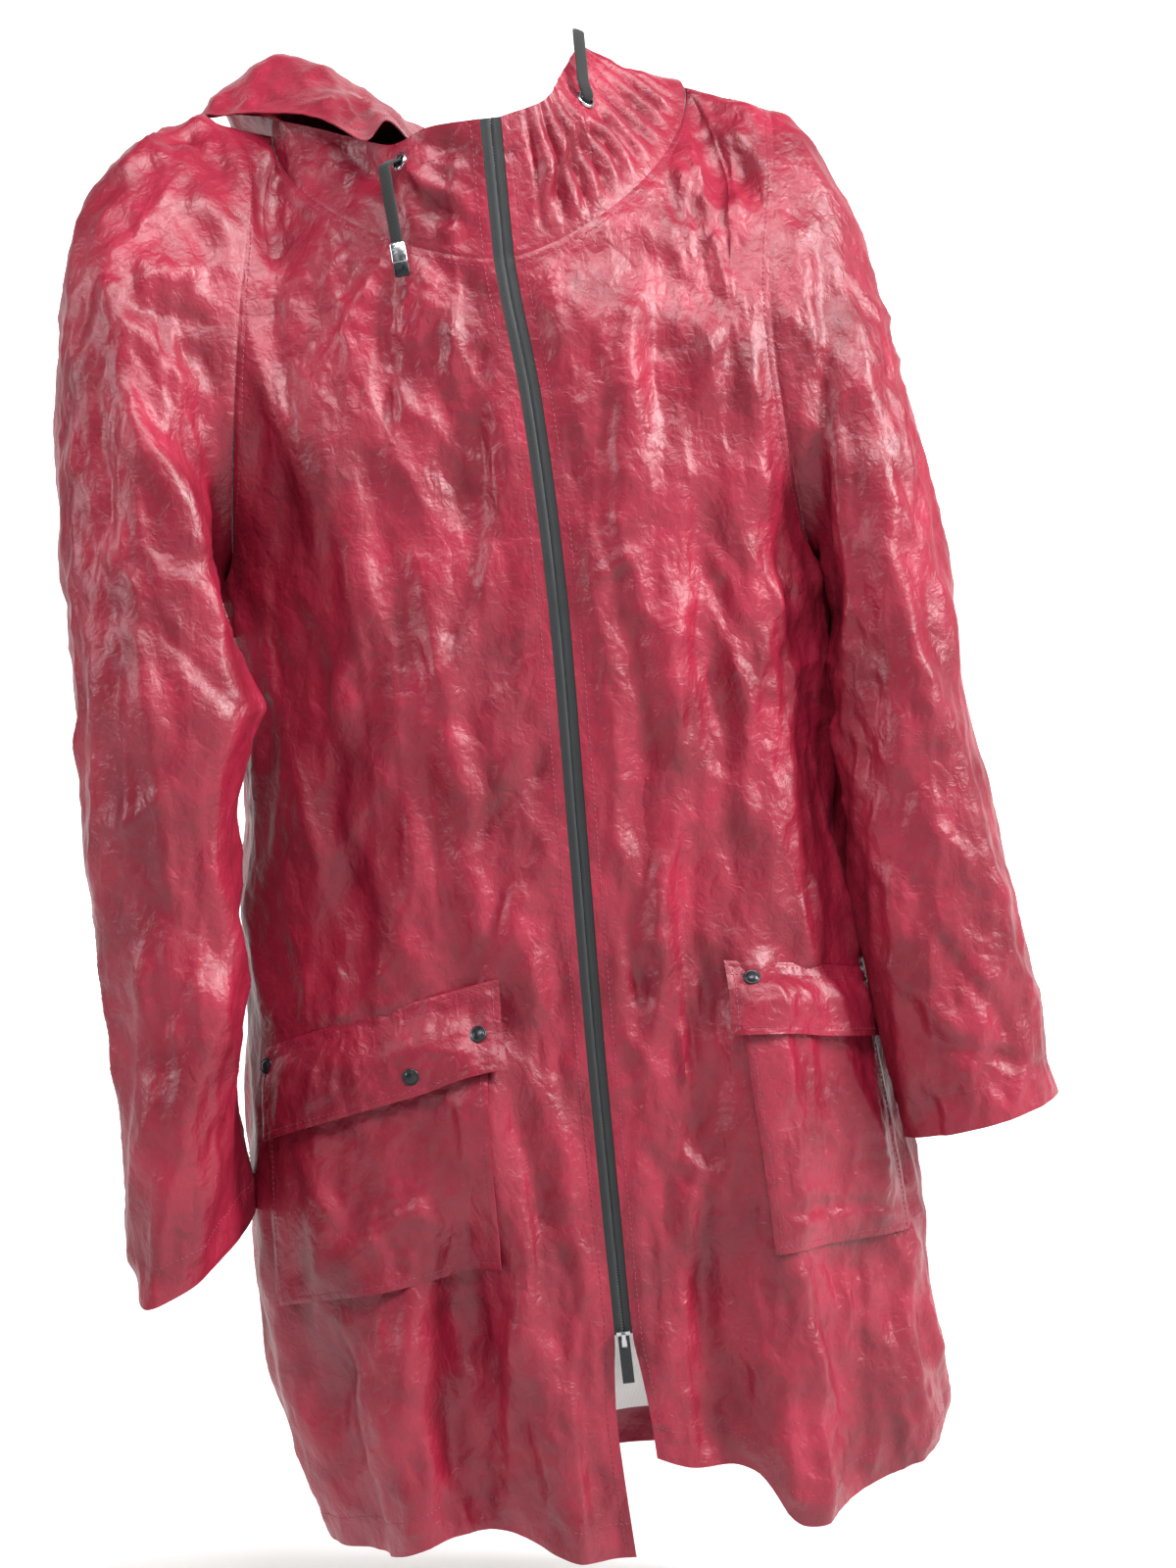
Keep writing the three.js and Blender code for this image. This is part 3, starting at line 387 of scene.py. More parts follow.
SLEEVE_CREASES = [
    (-258, -119, -215, -310, 8, 5),
    (-256, -164, -183, -360, 9, 6),
    (-256, -107, -173, -128, 5, -4),
    (-255, -111, -196, -177, 5, 4),
    (-257, -114, -234, -211, 6, -4),
    (-249, -93, -164, -84, 5, 3.5),
    (-232, -270, -183, -328, 4, -4),
    (-222, -297, -190, -366, 4, 4),
    (-243, -320, -208, -377, 4, -3.5),
    (-276, -181, -285, -354, 8, -4),
    (-266, -356, -264, -488, 8, 4),
    (-294, -392, -298, -550, 8, -4),
    (-242, -439, -242, -545, 6, -4),
    (-237, -564, -310, -758, 7, 7),
    (-283, -539, -300, -671, 8, 4),
    (-266, -304, -255, -397, 6, 4),
    (-280, -264, -258, -292, 4, 3),
    (-291, -301, -255, -319, 4, -3),
    (-298, -451, -249, -424, 4, 3),
    (-224, -199, -188, -275, 6, -5),
    (-243, -557, -270, -594, 4, 3),
    (223, -118, 195, -319, 8, -6),
    (238, -310, 264, -460, 8, 4),
    (235, -172, 244, -298, 9, 3),
    (220, -348, 218, -502, 8, -4),
    (264, -327, 287, -490, 7, -3),
    (241, -504, 279, -556, 4, 4),
    (231, -529, 249, -612, 5, -4),
    (215, -520, 218, -683, 7, 4),
    (248, -591, 293, -678, 5, -3),
    (277, -523, 312, -657, 6, 3),
    (199, -426, 199, -587, 7, 4),
    (207, -600, 261, -661, 4, 3),
    (231, -657, 305, -686, 4, -2),
]
HOOD_CREASES = [
    (-88, -14, -64, -47, 9, -5),
    (-67, -9, -7, -34, 8, -4),
    (-54, -34, -32, -56, 6, 3.5),
    (-92, -7, -68, -16, 6, 3),
    (-50, -21, -10, -45, 6, 3),
    (-42, -41, -16, -62, 6, 3),
    (-37, -89, -8, -67, 7, 3),
    (-45, -65, -20, -77, 6, -2.5),
    (32, -74, 64, -10, 6, 3),
    (39, -82, 75, -17, 5, -3),
]


def ring_point(side, face, s, z):
    """A point of the body's ring at a height: s is 0 at the panel's middle and 1 at the side seam. Across and
    deep follow the sine and the cosine of a quarter turn, each raised to the ring's bluntness."""
    _, left, right, front, back, blunt = read_table(BODY, z)
    if face < 0:
        start = read_table(OPENING, z)[1 if side < 0 else 2]
    else:
        start = NECK_BACK[0]
    angle = s * math.pi / 2
    x = mix(start, side * (left if side < 0 else right), np.sin(angle) ** blunt)
    y = face * (front if face < 0 else back) * np.maximum(np.cos(angle), 0.0) ** blunt
    return np.stack(np.broadcast_arrays(x, y, z), -1)


def armhole_point(side, face, t):
    """A point of the armhole's loop: t is 0 under the arm and 1 at the shoulder."""
    under = ring_point(side, -1, np.array(1.0), np.array(ARMPIT_Z[side]))
    under[1] = 0.0
    points = [under if p is None else np.array(p, float) for p in ARMHOLE[side]]
    return rounded_path(points, (0.5 + face * 0.5 * t) % 1.0, True)


def top_point(side, face, s):
    """The panel's top edge: the neckline from the middle to the neck point, then the shoulder seam."""
    share = NECK_SHARE[face]
    neck = np.array(NECK_SIDE[side], float)
    shoulder = np.array(ARMHOLE[side][0], float)
    angle = np.minimum(s / share, 1.0) * math.pi / 2
    rise = 1.0 - np.cos(angle)
    if face < 0:
        start = float(read_table(OPENING, NECK_FRONT[1])[1 if side < 0 else 2])
        y = NECK_FRONT[0] * np.maximum(np.cos(angle), 0.0) ** 1.3
        curve = np.stack([mix(start, neck[0], np.sin(angle)), y, mix(NECK_FRONT[1], neck[2], rise**0.75)], -1)
    else:
        y = NECK_BACK[1] * np.maximum(np.cos(angle), 0.0) ** 0.9
        curve = np.stack([mix(NECK_BACK[0], neck[0], np.sin(angle)), y, mix(NECK_BACK[2], neck[2], rise)], -1)
    seam = neck + (shoulder - neck) * ((s - share) / (1 - share))[..., None]
    return np.where((s > share)[..., None], seam, curve)


def chest_to_top(side, face, s, t):
    """Rings trimmed at the armhole that lean back to the top edge."""
    top = top_point(side, face, s)
    z = mix(mix(CHEST_Z, ARMPIT_Z[side], s), top[..., 2], t)
    edge = armhole_point(side, face, t)
    row = read_table(BODY, edge[..., 2])
    share = np.clip(np.abs(edge[..., 1]) / row[3 if face < 0 else 4], 0.0, 1.0)
    reach = np.arccos(share ** (1.0 / row[5])) / (math.pi / 2)
    ring = ring_point(side, face, s * reach, z)
    lean = (t**2.4)[..., None]
    out = mix(ring, top, lean)
    out[..., 2] = z
    return out


def hem_z(side, face, s):
    """Height of the hem at a place across the panel."""
    across = np.abs(ring_point(side, face, s, np.full_like(s, -960.0))[..., 0])
    if face < 0:
        return read_table(HEM_FRONT[side], across)[1]
    return mix(HEM_BACK_Z, HEM_FRONT[side][-1][1], smooth(s) ** 2)


def panel_base(side, face, s, row):
    """Smooth panel: rings up to the chest line, then a sheet held at its middle and at the armhole."""
    low = np.minimum(row / LOWER_ROWS, 1.0)
    z = mix(hem_z(side, face, s), mix(CHEST_Z, ARMPIT_Z[side], s), low)
    lower = ring_point(side, face, s, z)
    t = np.clip((row - LOWER_ROWS) / UPPER_ROWS, 0.0, 1.0)
    upper = chest_to_top(side, face, s, t)
    middle = ring_point(side, face, np.zeros_like(s), mix(CHEST_Z, NECK_FRONT[1] if face < 0 else NECK_BACK[2], t))
    upper = upper + (middle - chest_to_top(side, face, np.zeros_like(s), t)) * ((1 - s) ** 2)[..., None]
    upper = upper + (armhole_point(side, face, t) - chest_to_top(side, face, np.ones_like(s), t)) * (s**2)[..., None]
    return np.where((row > LOWER_ROWS)[..., None], upper, lower)


def ridge_line(x, z, x0, z0, x1, z1, width, height, taper):
    """Height of one straight fold: a bell across its line that dies away past both ends."""
    length = math.hypot(x1 - x0, z1 - z0)
    ux, uz = (x1 - x0) / length, (z1 - z0) / length
    along = (x - x0) * ux + (z - z0) * uz
    off = (x - x0) * uz - (z - z0) * ux
    ends = smooth(along / taper + 0.5) * smooth((length - along) / taper + 0.5)
    return height * bump(off, width) * ends


def fold_height(face, x, z, s, t):
    """How far the largest folds move the cloth out."""
    middle = smooth(s / SEAM_FADE) if face < 0 else 1.0
    fade = middle * smooth((1 - s) / SEAM_FADE) * smooth((1 - t) / SEAM_FADE)
    out = 0.0
    for own, *line in FOLDS:
        if own == face:
            out = out + ridge_line(x, z, *line, FOLD_TAPER)
    return out * fade


def normals_of(grid, closed=False):
    """Unit normals of a grid of points, from the steps along its columns and its rows."""
    if closed:
        across = np.roll(grid, -1, 0) - np.roll(grid, 1, 0)
    else:
        across = np.gradient(grid, axis=0)
    up = np.gradient(grid, axis=1)
    return unit(np.cross(across, up))


def eased_normals(grid, closed=False):
    """Normals averaged over the nearest dozen points, so that cloth moved out along them never crosses itself
    where the smooth cloth has a kink."""
    n = normals_of(grid, closed)
    for _ in range(24):
        padded = np.concatenate([n[-1:], n, n[:1]] if closed else [n[:1], n, n[-1:]])
        n = 0.5 * n + 0.25 * (padded[2:] + padded[:-2])
        padded = np.concatenate([n[:, :1], n, n[:, -1:]], 1)
        n = 0.5 * n + 0.25 * (padded[:, 2:] + padded[:, :-2])
    return unit(n)


def edge_distance(grid, axis, from_end):
    """Distance in mm over the cloth from one edge of a grid to every point of it."""
    steps = np.linalg.norm(np.diff(grid, axis=axis), axis=-1)
    if from_end:
        steps = np.flip(steps, axis)
    zero = np.zeros_like(np.take(steps, [0], axis))
    total = np.concatenate([zero, np.cumsum(steps, axis)], axis)
    return np.flip(total, axis) if from_end else total


# Cloth detail


# share of the height that counts, size in mm, seed, directions, gain, only in busy places
CRUMPLES = [
    (0.5, 66, 11, 5, 1.3, False),
    (0.6, 26, 23, 6, 1.15, True),
]
# share of the height that counts, size in mm, seed, gain, only in busy places
FACETS = [
    (0.55, 42, 51, 0.1, False),
    (0.65, 17, 63, 0.16, True),
    (0.85, 9, 71, 0.12, True),
]
BUSY_SIZE = 75.0


def wrinkle(p, strength=1.0):
    """Creases of every size that this coating shows, in mm, from the place in space alone, so that they run on
    across the seams: large soft ones, middling ones and small sharp ones. Some places are busier than others."""
    busy = 0.55 + 0.75 * smooth(0.5 + 0.9 * slow_noise(p * (1.0, 1.0, 0.6) / BUSY_SIZE, 91))
    out = 0.0
    for upright, size, seed, directions, gain, patchy in CRUMPLES:
        out = out + crumple(p * (1.0, 1.0, upright), size, seed, directions) * gain * (busy if patchy else 1.0)
    for upright, size, seed, gain, patchy in FACETS:
        out = out + facets(p * (1.0, 1.0, upright), size, seed) * gain * (busy if patchy else 1.0)
    return out * strength


CREASE_GAIN = 1.7
CREASE_BEND = 5.0
NARROWEST_CREASE = 6.5
STEEPEST_CREASE = 0.52


def hand_creases(p, n, rows):
    """Creases that face the front, listed one by one; they die away where the cloth turns from the front."""
    front = smooth(-n[..., 1] * 1.6)
    out = np.zeros(p.shape[:-1])
    bend = CREASE_BEND * slow_noise(p / 38.0, 17)
    for x0, z0, x1, z1, width, height in rows:
        taper = 0.5 * math.hypot(x1 - x0, z1 - z0)
        width = max(1.2 * width, NARROWEST_CREASE)
        steepest = STEEPEST_CREASE * width
        height = min(max(CREASE_GAIN * height, -steepest), steepest)
        out = out + ridge_line(p[..., 0] + bend, p[..., 2], x0, z0, x1, z1, width, height, taper)
    return out * front


def sewn_edge(distance, p, depth, rows):
    """The cloth sinks into a seam in a bell 2 mm wide, and each row of stitches beside it draws in a narrow groove
    with small puckers."""
    out = -depth * bump(distance, 2.0)
    for row in rows:
        pucker = slow_noise(p / 6.0, 5) * bump(distance - row, 6.0) * 0.55
        out = out + pucker - 0.2 * bump(distance - row, 1.4)
    return out


def dressed(grid, out_sign, seams, creases=(), closed=False, strength=1.0, extra=0.0):
    """A grid of smooth cloth with its creases and seams. seams lists each sewn edge: its axis, whether it is the
    far end, how deep the seam sinks and how far in its rows of stitches run."""
    n = eased_normals(grid, closed) * out_sign
    height = wrinkle(grid, strength) + extra + hand_creases(grid, n, creases)
    for axis, far_end, depth, rows in seams:
        away = edge_distance(grid, axis, far_end)
        least = 0.35 if depth == 0.0 else 0.06
        height = height * mix(least, 1.0, smooth(away / 24.0)) + sewn_edge(away, grid, depth, rows)
    return grid + n * height[..., None]


STITCH_LINES = []
# How deep a seam sinks, and how far in from an edge its row of stitches runs
SEAM, ZIP_SEAM, POCKET_SEAM, FLAP_SEAM, FLAP_TOP_SEAM = 0.45, 0.2, 0.5, 0.4, 1.0
SEAM_STITCH, ZIP_STITCH = 5.0, 6.5
FLAP_TOP_STITCHES = (4.0, 10.0)


def sew(grid, out_sign, axis, far_end, distance, closed=False):
    """Notes a line of stitches that runs at one distance from an edge of a grid."""
    n = np.moveaxis(normals_of(grid, closed) * out_sign, axis, 0)
    away = np.moveaxis(edge_distance(grid, axis, far_end), axis, 0)
    points = np.moveaxis(grid, axis, 0)
    if far_end:
        n, away, points = n[::-1], away[::-1], points[::-1]
    k = np.clip((away < distance).sum(0), 1, len(away) - 1)
    lane = np.arange(away.shape[1])
    low, high = away[k - 1, lane], away[k, lane]
    f = ((distance - low) / np.maximum(high - low, 1e-6))[:, None]
    STITCH_LINES.append((mix(points[k - 1, lane], points[k, lane], f), n[k, lane]))


# Meshes


def add_object(name, points, faces, slots, smooth_angle=55.0):
    """A mesh object at the origin with its points in metres. slots gives a material index per face."""
    mesh = bpy.data.meshes.new(name)
    points = np.asarray(points, np.float32) * MM
    faces = np.asarray(faces, np.int32)
    corners = faces.shape[1]
    mesh.vertices.add(len(points))
    mesh.vertices.foreach_set("co", points.ravel())
    mesh.loops.add(faces.size)
    mesh.loops.foreach_set("vertex_index", faces.ravel())
    mesh.polygons.add(len(faces))
    mesh.polygons.foreach_set("loop_start", np.arange(0, faces.size, corners, dtype=np.int32))
    mesh.polygons.foreach_set("material_index", np.asarray(slots, np.int32))
    mesh.update(calc_edges=True)
    mesh.validate()
    mesh.shade_smooth()
    mesh.set_sharp_from_angle(angle=math.radians(smooth_angle))
    obj = bpy.data.objects.new(name, mesh)
    bpy.context.scene.collection.objects.link(obj)
    return obj


def add_shell(name, outer, out_sign, closed=False, wall=WALL, inner_slot=1, band=None):
    """A thin closed shell: the outer grid, the same grid moved in by the wall, and the edges between them.
    band marks places of the inner face that have the outer finish, as a turned-up hem does."""
    cols, rows = outer.shape[:2]
    inner = outer - eased_normals(outer, closed) * out_sign * wall
    points = np.concatenate([outer.reshape(-1, 3), inner.reshape(-1, 3)])
    layer = cols * rows
    ids = np.arange(layer).reshape(cols, rows)
    ring = np.concatenate([ids, ids[:1]]) if closed else ids
    outside = cells(ring)
    # Both faces split each cell along the same corners, so that the inner one never shows through a crease
    inside = outside[:, [0, 3, 2, 1]] + layer
    strips = [
        np.stack([ring[1:, 0], ring[:-1, 0], ring[:-1, 0] + layer, ring[1:, 0] + layer], -1),
        np.stack([ring[:-1, -1], ring[1:, -1], ring[1:, -1] + layer, ring[:-1, -1] + layer], -1),
    ]
    if not closed:
        strips.append(np.stack([ids[0, :-1], ids[0, 1:], ids[0, 1:] + layer, ids[0, :-1] + layer], -1))
        strips.append(np.stack([ids[-1, 1:], ids[-1, :-1], ids[-1, :-1] + layer, ids[-1, 1:] + layer], -1))
    edge = np.concatenate(strips)
    faces = np.concatenate([outside, inside, edge])
    if out_sign < 0:
        faces = faces[:, ::-1]
    inner_slots = np.full(len(inside), inner_slot)
    if band is not None:
        inner_slots[band[:, : rows - 1][: len(ring) - 1].reshape(-1)] = 0
    slots = np.concatenate([np.zeros(len(outside), int), inner_slots, np.zeros(len(edge), int)])
    return add_object(name, points, faces, slots)


def add_tube(name, rings, loop=False, smooth_angle=55.0, slots=None):
    """A closed surface through rings of shape (rows, columns, 3). The ends are closed by fans, or joined in a
    loop, and the faces are turned outwards by the sign of the volume that they close. slots is one per row."""
    rows, cols = rings.shape[:2]
    ids = np.arange(rows * cols).reshape(rows, cols)
    wrap = np.concatenate([ids, ids[:, :1]], 1)
    if loop:
        wrap = np.concatenate([wrap, wrap[:1]])
    faces = halves(cells(wrap))
    per_row = np.zeros(len(wrap) - 1, int) if slots is None else np.asarray(slots)
    slot = np.tile(np.repeat(per_row, cols), 2)
    points = rings.reshape(-1, 3)
    if not loop:
        first, final = len(points), len(points) + 1
        points = np.concatenate([points, rings[:1].mean(1), rings[-1:].mean(1)])
        low = np.stack([wrap[0, 1:], wrap[0, :-1], np.full(cols, first)], -1)
        high = np.stack([wrap[-1, :-1], wrap[-1, 1:], np.full(cols, final)], -1)
        faces = np.concatenate([faces, low, high])
        slot = np.concatenate([slot, np.full(cols, per_row[0]), np.full(cols, per_row[-1])])
    return add_object(name, points, outwards(points, faces), slot, smooth_angle)


def nearest_place(grid, normals, target):
    """The point of a grid nearest to a target, and the normal there."""
    away = np.linalg.norm(grid - np.asarray(target, float), axis=-1)
    at = np.unravel_index(away.argmin(), away.shape)
    return grid[at], normals[at]


def turned_rings(profile, centre, axis, sides):
    """Rings of a profile of radii and heights turned about an axis."""
    axis = unit(np.asarray(axis, float))
    first = unit(np.cross(axis, (0.31, 0.2, 0.93)))
    second = np.cross(axis, first)
    angle = turn_angles(sides)[:, None]
    circle = np.cos(angle) * first + np.sin(angle) * second
    profile = np.array(profile, float)
    return centre + profile[:, 0][:, None, None] * circle + profile[:, 1][:, None, None] * axis


FINISHES = []


def declare(obj, finishes, nodes=()):
    """Notes the body that a finished piece rides on, its finishes and the solids that it stands for."""
    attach(obj, COAT)
    if nodes:
        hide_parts(*nodes)
    FINISHES.append((obj, finishes))


def add_cloth(part, base, side, seams, held, rests_on, closed=False, turned=None, inner_slot=1, **detail):
    """One cut of cloth: its smooth grid gets creases and seams, a wall and its rows of stitches. part is the
    solid's name, turned the depth of a turned-up hem and whether it is at the far end. Gives the dressed grid."""
    grid = dressed(base, side, seams, closed=closed, **detail)
    band = None if turned is None else edge_distance(grid, 1, turned[1]) < turned[0]
    obj = add_shell(f"cloth_{part}", grid, side, closed, inner_slot=inner_slot, band=band)
    declare(obj, ("cloth", "backing"), [part])
    for axis, far_end, _, rows in seams:
        for row in rows:
            sew(grid, side, axis, far_end, row, closed)
    return grid


# Panels

FRONT_COLS, FRONT_ROWS = 116, 256
BACK_COLS, BACK_ROWS = 62, 176
HEM_TURN = 24.0


def panel_grid(side, face, cols, rows):
    """A panel's half from its middle to its side seam, with the largest folds."""
    across, up = spread(cols, 0.06), spread(rows, 0.035)
    s, row = np.meshgrid(across, up * (LOWER_ROWS + UPPER_ROWS), indexing="ij")
    grid = panel_base(side, face, s, row)
    n = normals_of(grid) * (-side * face)
    t = np.clip((row - LOWER_ROWS) / UPPER_ROWS, 0.0, 1.0)
    return grid + n * fold_height(face, grid[..., 0], grid[..., 2], s, t)[..., None]


SIDE_NAME = {-1: "left", 1: "right"}
FRONTS = {side: panel_grid(side, -1, FRONT_COLS, FRONT_ROWS) for side in (-1, 1)}
BACKS = {side: panel_grid(side, 1, BACK_COLS, BACK_ROWS) for side in (-1, 1)}


# Between which heights the cloth lies calm behind a pocket, and where the pocket's width is read
PATCH_FOOT, PATCH_TOP, PATCH_MIDDLE = -812.0, -596.0, -700.0


def under_patch(side, grid):
    """1 on the open cloth and less under the pocket and its flap, where the cloth lies calm."""
    inner, outer = POCKET[side][0] / 16, FLAP[side][1] / 16
    x = np.abs(grid[..., 0])
    low = np.abs(ring_point(side, -1, np.array(inner), np.array(PATCH_MIDDLE))[0]) - 6
    high = np.abs(ring_point(side, -1, np.array(outer), np.array(PATCH_MIDDLE))[0]) + 10
    beside = smooth((x - low) / 12) * smooth((high - x) / 12)
    below = smooth((grid[..., 2] - PATCH_FOOT) / 14) * smooth((PATCH_TOP - grid[..., 2]) / 14)
    return 1.0 - 0.75 * beside * below


# axis, far end, how deep the seam sinks, rows of stitches: side seam, shoulder and neck, hem
PANEL_SEAMS = [(0, True, SEAM, (SEAM_STITCH,)), (1, True, SEAM, (SEAM_STITCH,)), (1, False, 0.0, (HEM_TURN,))]


def add_fronts():
    """The two fronts, each from the zip round to its side seam."""
    for side in (-1, 1):
        add_cloth(
            f"front_{SIDE_NAME[side]}",
            FRONTS[side],
            side,
            [(0, False, ZIP_SEAM, (ZIP_STITCH,))] + PANEL_SEAMS,
            "hung",
            ["cloth_back"],
            turned=(HEM_TURN, False),
            creases=BODY_CREASES,
            strength=under_patch(side, FRONTS[side]),
        )


def add_back():
    """The back, cut in one from side seam to side seam."""
    grid = np.concatenate([BACKS[1][::-1], BACKS[-1][1:]])
    seams = [(0, False, SEAM, (SEAM_STITCH,))] + PANEL_SEAMS
    add_cloth("back", grid, 1, seams, "hung", ["cloth_front_left", "cloth_front_right"], turned=(HEM_TURN, False))


# Pockets and their flaps

# inner and outer column of sixteen, height of the top and the foot at both ends, puff or lift
POCKET = {
    -1: (2, 11, -604, -656, -780, -804, 5),
    1: (4, 11.6, -622, -644, -790, -802, 3),
}
FLAP = {
    -1: (1.6, 11.3, -582, -622, -644, -688, 8),
    1: (3.7, 11.9, -588, -614, -638, -664, 6),
}
SNAP_TARGETS = {
    -1: [(-222, -70, -634), (-118, -120, -640), (-70, -130, -618)],
    1: [(118, -125, -600), (202, -70, -636)],
}
LAYER_GAP, CAD_WALL, SEWN_GAP = 1.2, 1.5, 0.8
PATCH_MARGIN = 1.5


def on_grid(grid, a, b):
    """Points of a grid at fractions of its columns and rows."""
    i = np.clip(np.floor(a).astype(int), 0, grid.shape[0] - 2)
    j = np.clip(np.floor(b).astype(int), 0, grid.shape[1] - 2)
    f, g = (a - i)[..., None], (b - j)[..., None]
    return mix(mix(grid[i, j], grid[i + 1, j], f), mix(grid[i, j + 1], grid[i + 1, j + 1], f), g)


def patch_grid(side, shape, cols, rows, lift):
    """A patch that lies on a front: the place on the front, moved out by a lift that depends on the place across
    and up the patch."""
    inner, outer, top_in, top_out, foot_in, foot_out, _ = shape
    base = FRONTS[side]
    n = normals_of(base) * side
    shares = spread(FRONT_COLS, 0.06)
    u, v = np.meshgrid(spread(cols, 0.05, 0.8), spread(rows, 0.08, 0.8), indexing="ij")
    column = np.interp(mix(inner, outer, u) / 16, shares, np.arange(FRONT_COLS + 1))
    z = mix(mix(foot_in, foot_out, u), mix(top_in, top_out, u), v)
    lower = int(FRONT_ROWS * 0.66)
    row = np.empty_like(z)
    for k in range(len(column)):
        line = on_grid(base, np.full(lower, column[k, 0]), np.arange(lower, dtype=float))
        row[k] = np.interp(z[k], line[:, 2], np.arange(lower))
    out = on_grid(base, column, row)
    facing = unit(on_grid(n, column, row))
    return out + facing * (lift(u, v) + CAD_WALL)[..., None]


def pocket_lift(side, u, v):
    """The bag stands out in the middle and lies close at its foot."""
    return LAYER_GAP + 0.8 * POCKET[side][6] * np.sin(math.pi * u) * smooth(v * 2.5) + PATCH_MARGIN


def flap_lift(side, u, v):
    """The flap is sewn on along its top, lies over the pocket's mouth and stands off a little at its lower edge."""
    over = 2 * LAYER_GAP + CAD_WALL + 0.8 * POCKET[side][6] * np.sin(math.pi * u) + PATCH_MARGIN
    lower = FLAP[side][6] * (np.sin(math.pi * u) + 0.22 * np.sin(3.2 * math.pi * u + 0.6)) * (1 - v)
    return mix(over + lower, SEWN_GAP, smooth(v * 2 - 1)) + 0.6


def patch_seams(depth):
    """Both sides and the foot of a patch, each sewn with one row of stitches."""
    return [(axis, far_end, depth, (SEAM_STITCH,)) for axis, far_end in ((0, False), (0, True), (1, False))]


def add_pockets():
    """A pocket on each front with its flap over its mouth and the snaps on the flap."""
    for side in (-1, 1):
        front = [f"cloth_front_{SIDE_NAME[side]}"]
        bag = patch_grid(side, POCKET[side], 84, 84, lambda u, v: pocket_lift(side, u, v))
        seams = patch_seams(POCKET_SEAM)
        name = f"pocket_{SIDE_NAME[side]}"
        add_cloth(name, bag, side, seams, "hung", front, creases=BODY_CREASES, strength=0.7)

        flap = patch_grid(side, FLAP[side], 128, 52, lambda u, v: flap_lift(side, u, v))
        seams = patch_seams(FLAP_SEAM) + [(1, True, FLAP_TOP_SEAM, FLAP_TOP_STITCHES)]
        name = f"flap_{SIDE_NAME[side]}"
        flap = add_cloth(name, flap, side, seams, "hung", front, creases=BODY_CREASES, strength=0.6)
        add_snaps(side, flap)


# radius and height, from under the rim over the dome to its middle
SNAP_PROFILE = [
    (5.2, -0.4), (5.8, 0.0), (6.0, 0.4), (5.9, 0.9), (5.5, 1.25), (5.0, 1.35), (4.6, 1.2), (4.35, 1.15), (4.1, 1.3),
    (3.4, 1.85), (2.4, 2.25), (1.2, 2.45), (0.3, 2.5),
]


def add_snaps(side, flap):
    """Press-stud caps: a rolled rim and a low dome inside it, turned about the flap's normal."""
    n = normals_of(flap) * side
    for k, target in enumerate(SNAP_TARGETS[side]):
        rings = turned_rings(SNAP_PROFILE, *nearest_place(flap, n, target), 40)
        cap = add_tube(f"snap_cap_{SIDE_NAME[side]}_{k + 1}", rings, smooth_angle=40)
        declare(cap, ("enamel_and_painted_shade",), [f"snap_{SIDE_NAME[side]}_{k + 1}"])


# Sleeves

SLEEVE_COLS, SLEEVE_ROWS = 156, 160
CUFF_TURN = 28.0
HEAD_SHARE = 9 / 20


def sleeve_ring(side, share, depth):
    """A point of the sleeve below the underarm: an oval turned about its own middle and tilted."""
    _, x, y, along, across, turn, tilt = read_table(SLEEVE_RINGS[side], depth)
    angle = share * 2 * math.pi
    turn = np.radians(turn)
    a, b = along * np.cos(angle), across * np.sin(angle)
    x = x + side * (a * np.cos(turn) + b * np.sin(turn))
    y = y + a * np.sin(turn) - b * np.cos(turn)
    return np.stack([x, y, tilt * np.cos(angle) - depth], -1)


def sleeve_grid(side):
    """The sleeve from the armhole to the cuff: a smooth bridge to the first ring, then the rings."""
    share = np.arange(SLEEVE_COLS) / SLEEVE_COLS
    front = share <= 0.5
    start = np.where(front[:, None], armhole_point(side, -1, 1 - 2 * share), armhole_point(side, 1, 2 * share - 1))
    under = (1 - np.cos(share * 2 * math.pi)) / 2
    leave_top, leave_under = (np.array(v, float) for v in SLEEVE_LEAVE[side])
    leave = mix(leave_top, leave_under, under[:, None])
    arrive = np.zeros_like(leave)
    arrive[:, 2] = -mix(*SLEEVE_ARRIVE[side], under)
    rings = SLEEVE_RINGS[side]
    end = sleeve_ring(side, share, np.full_like(share, rings[0][0]))
    place = spread(SLEEVE_ROWS, 0.04)
    f = np.clip(place / HEAD_SHARE, 0, 1)[None, :, None]
    head = hermite(start[:, None], end[:, None], leave[:, None], arrive[:, None], f)
    depth = mix(rings[0][0], rings[-1][0], np.clip((place - HEAD_SHARE) / (1 - HEAD_SHARE), 0, 1))
    sh, de = np.meshgrid(share, depth, indexing="ij")
    arm = sleeve_ring(side, sh, de)
    return np.where((place > HEAD_SHARE)[None, :, None], arm, head)


def add_sleeves():
    """The two sleeves, each a closed tube with a turned-up cuff."""
    for side in (-1, 1):
        add_cloth(
            f"sleeve_{SIDE_NAME[side]}",
            sleeve_grid(side),
            side,
            [(1, False, SEAM, ()), (1, True, 0.0, (CUFF_TURN,))],
            "hung",
            [f"cloth_front_{SIDE_NAME[side]}", "cloth_back"],
            closed=True,
            turned=(CUFF_TURN, True),
            creases=SLEEVE_CREASES,
        )


# Hood

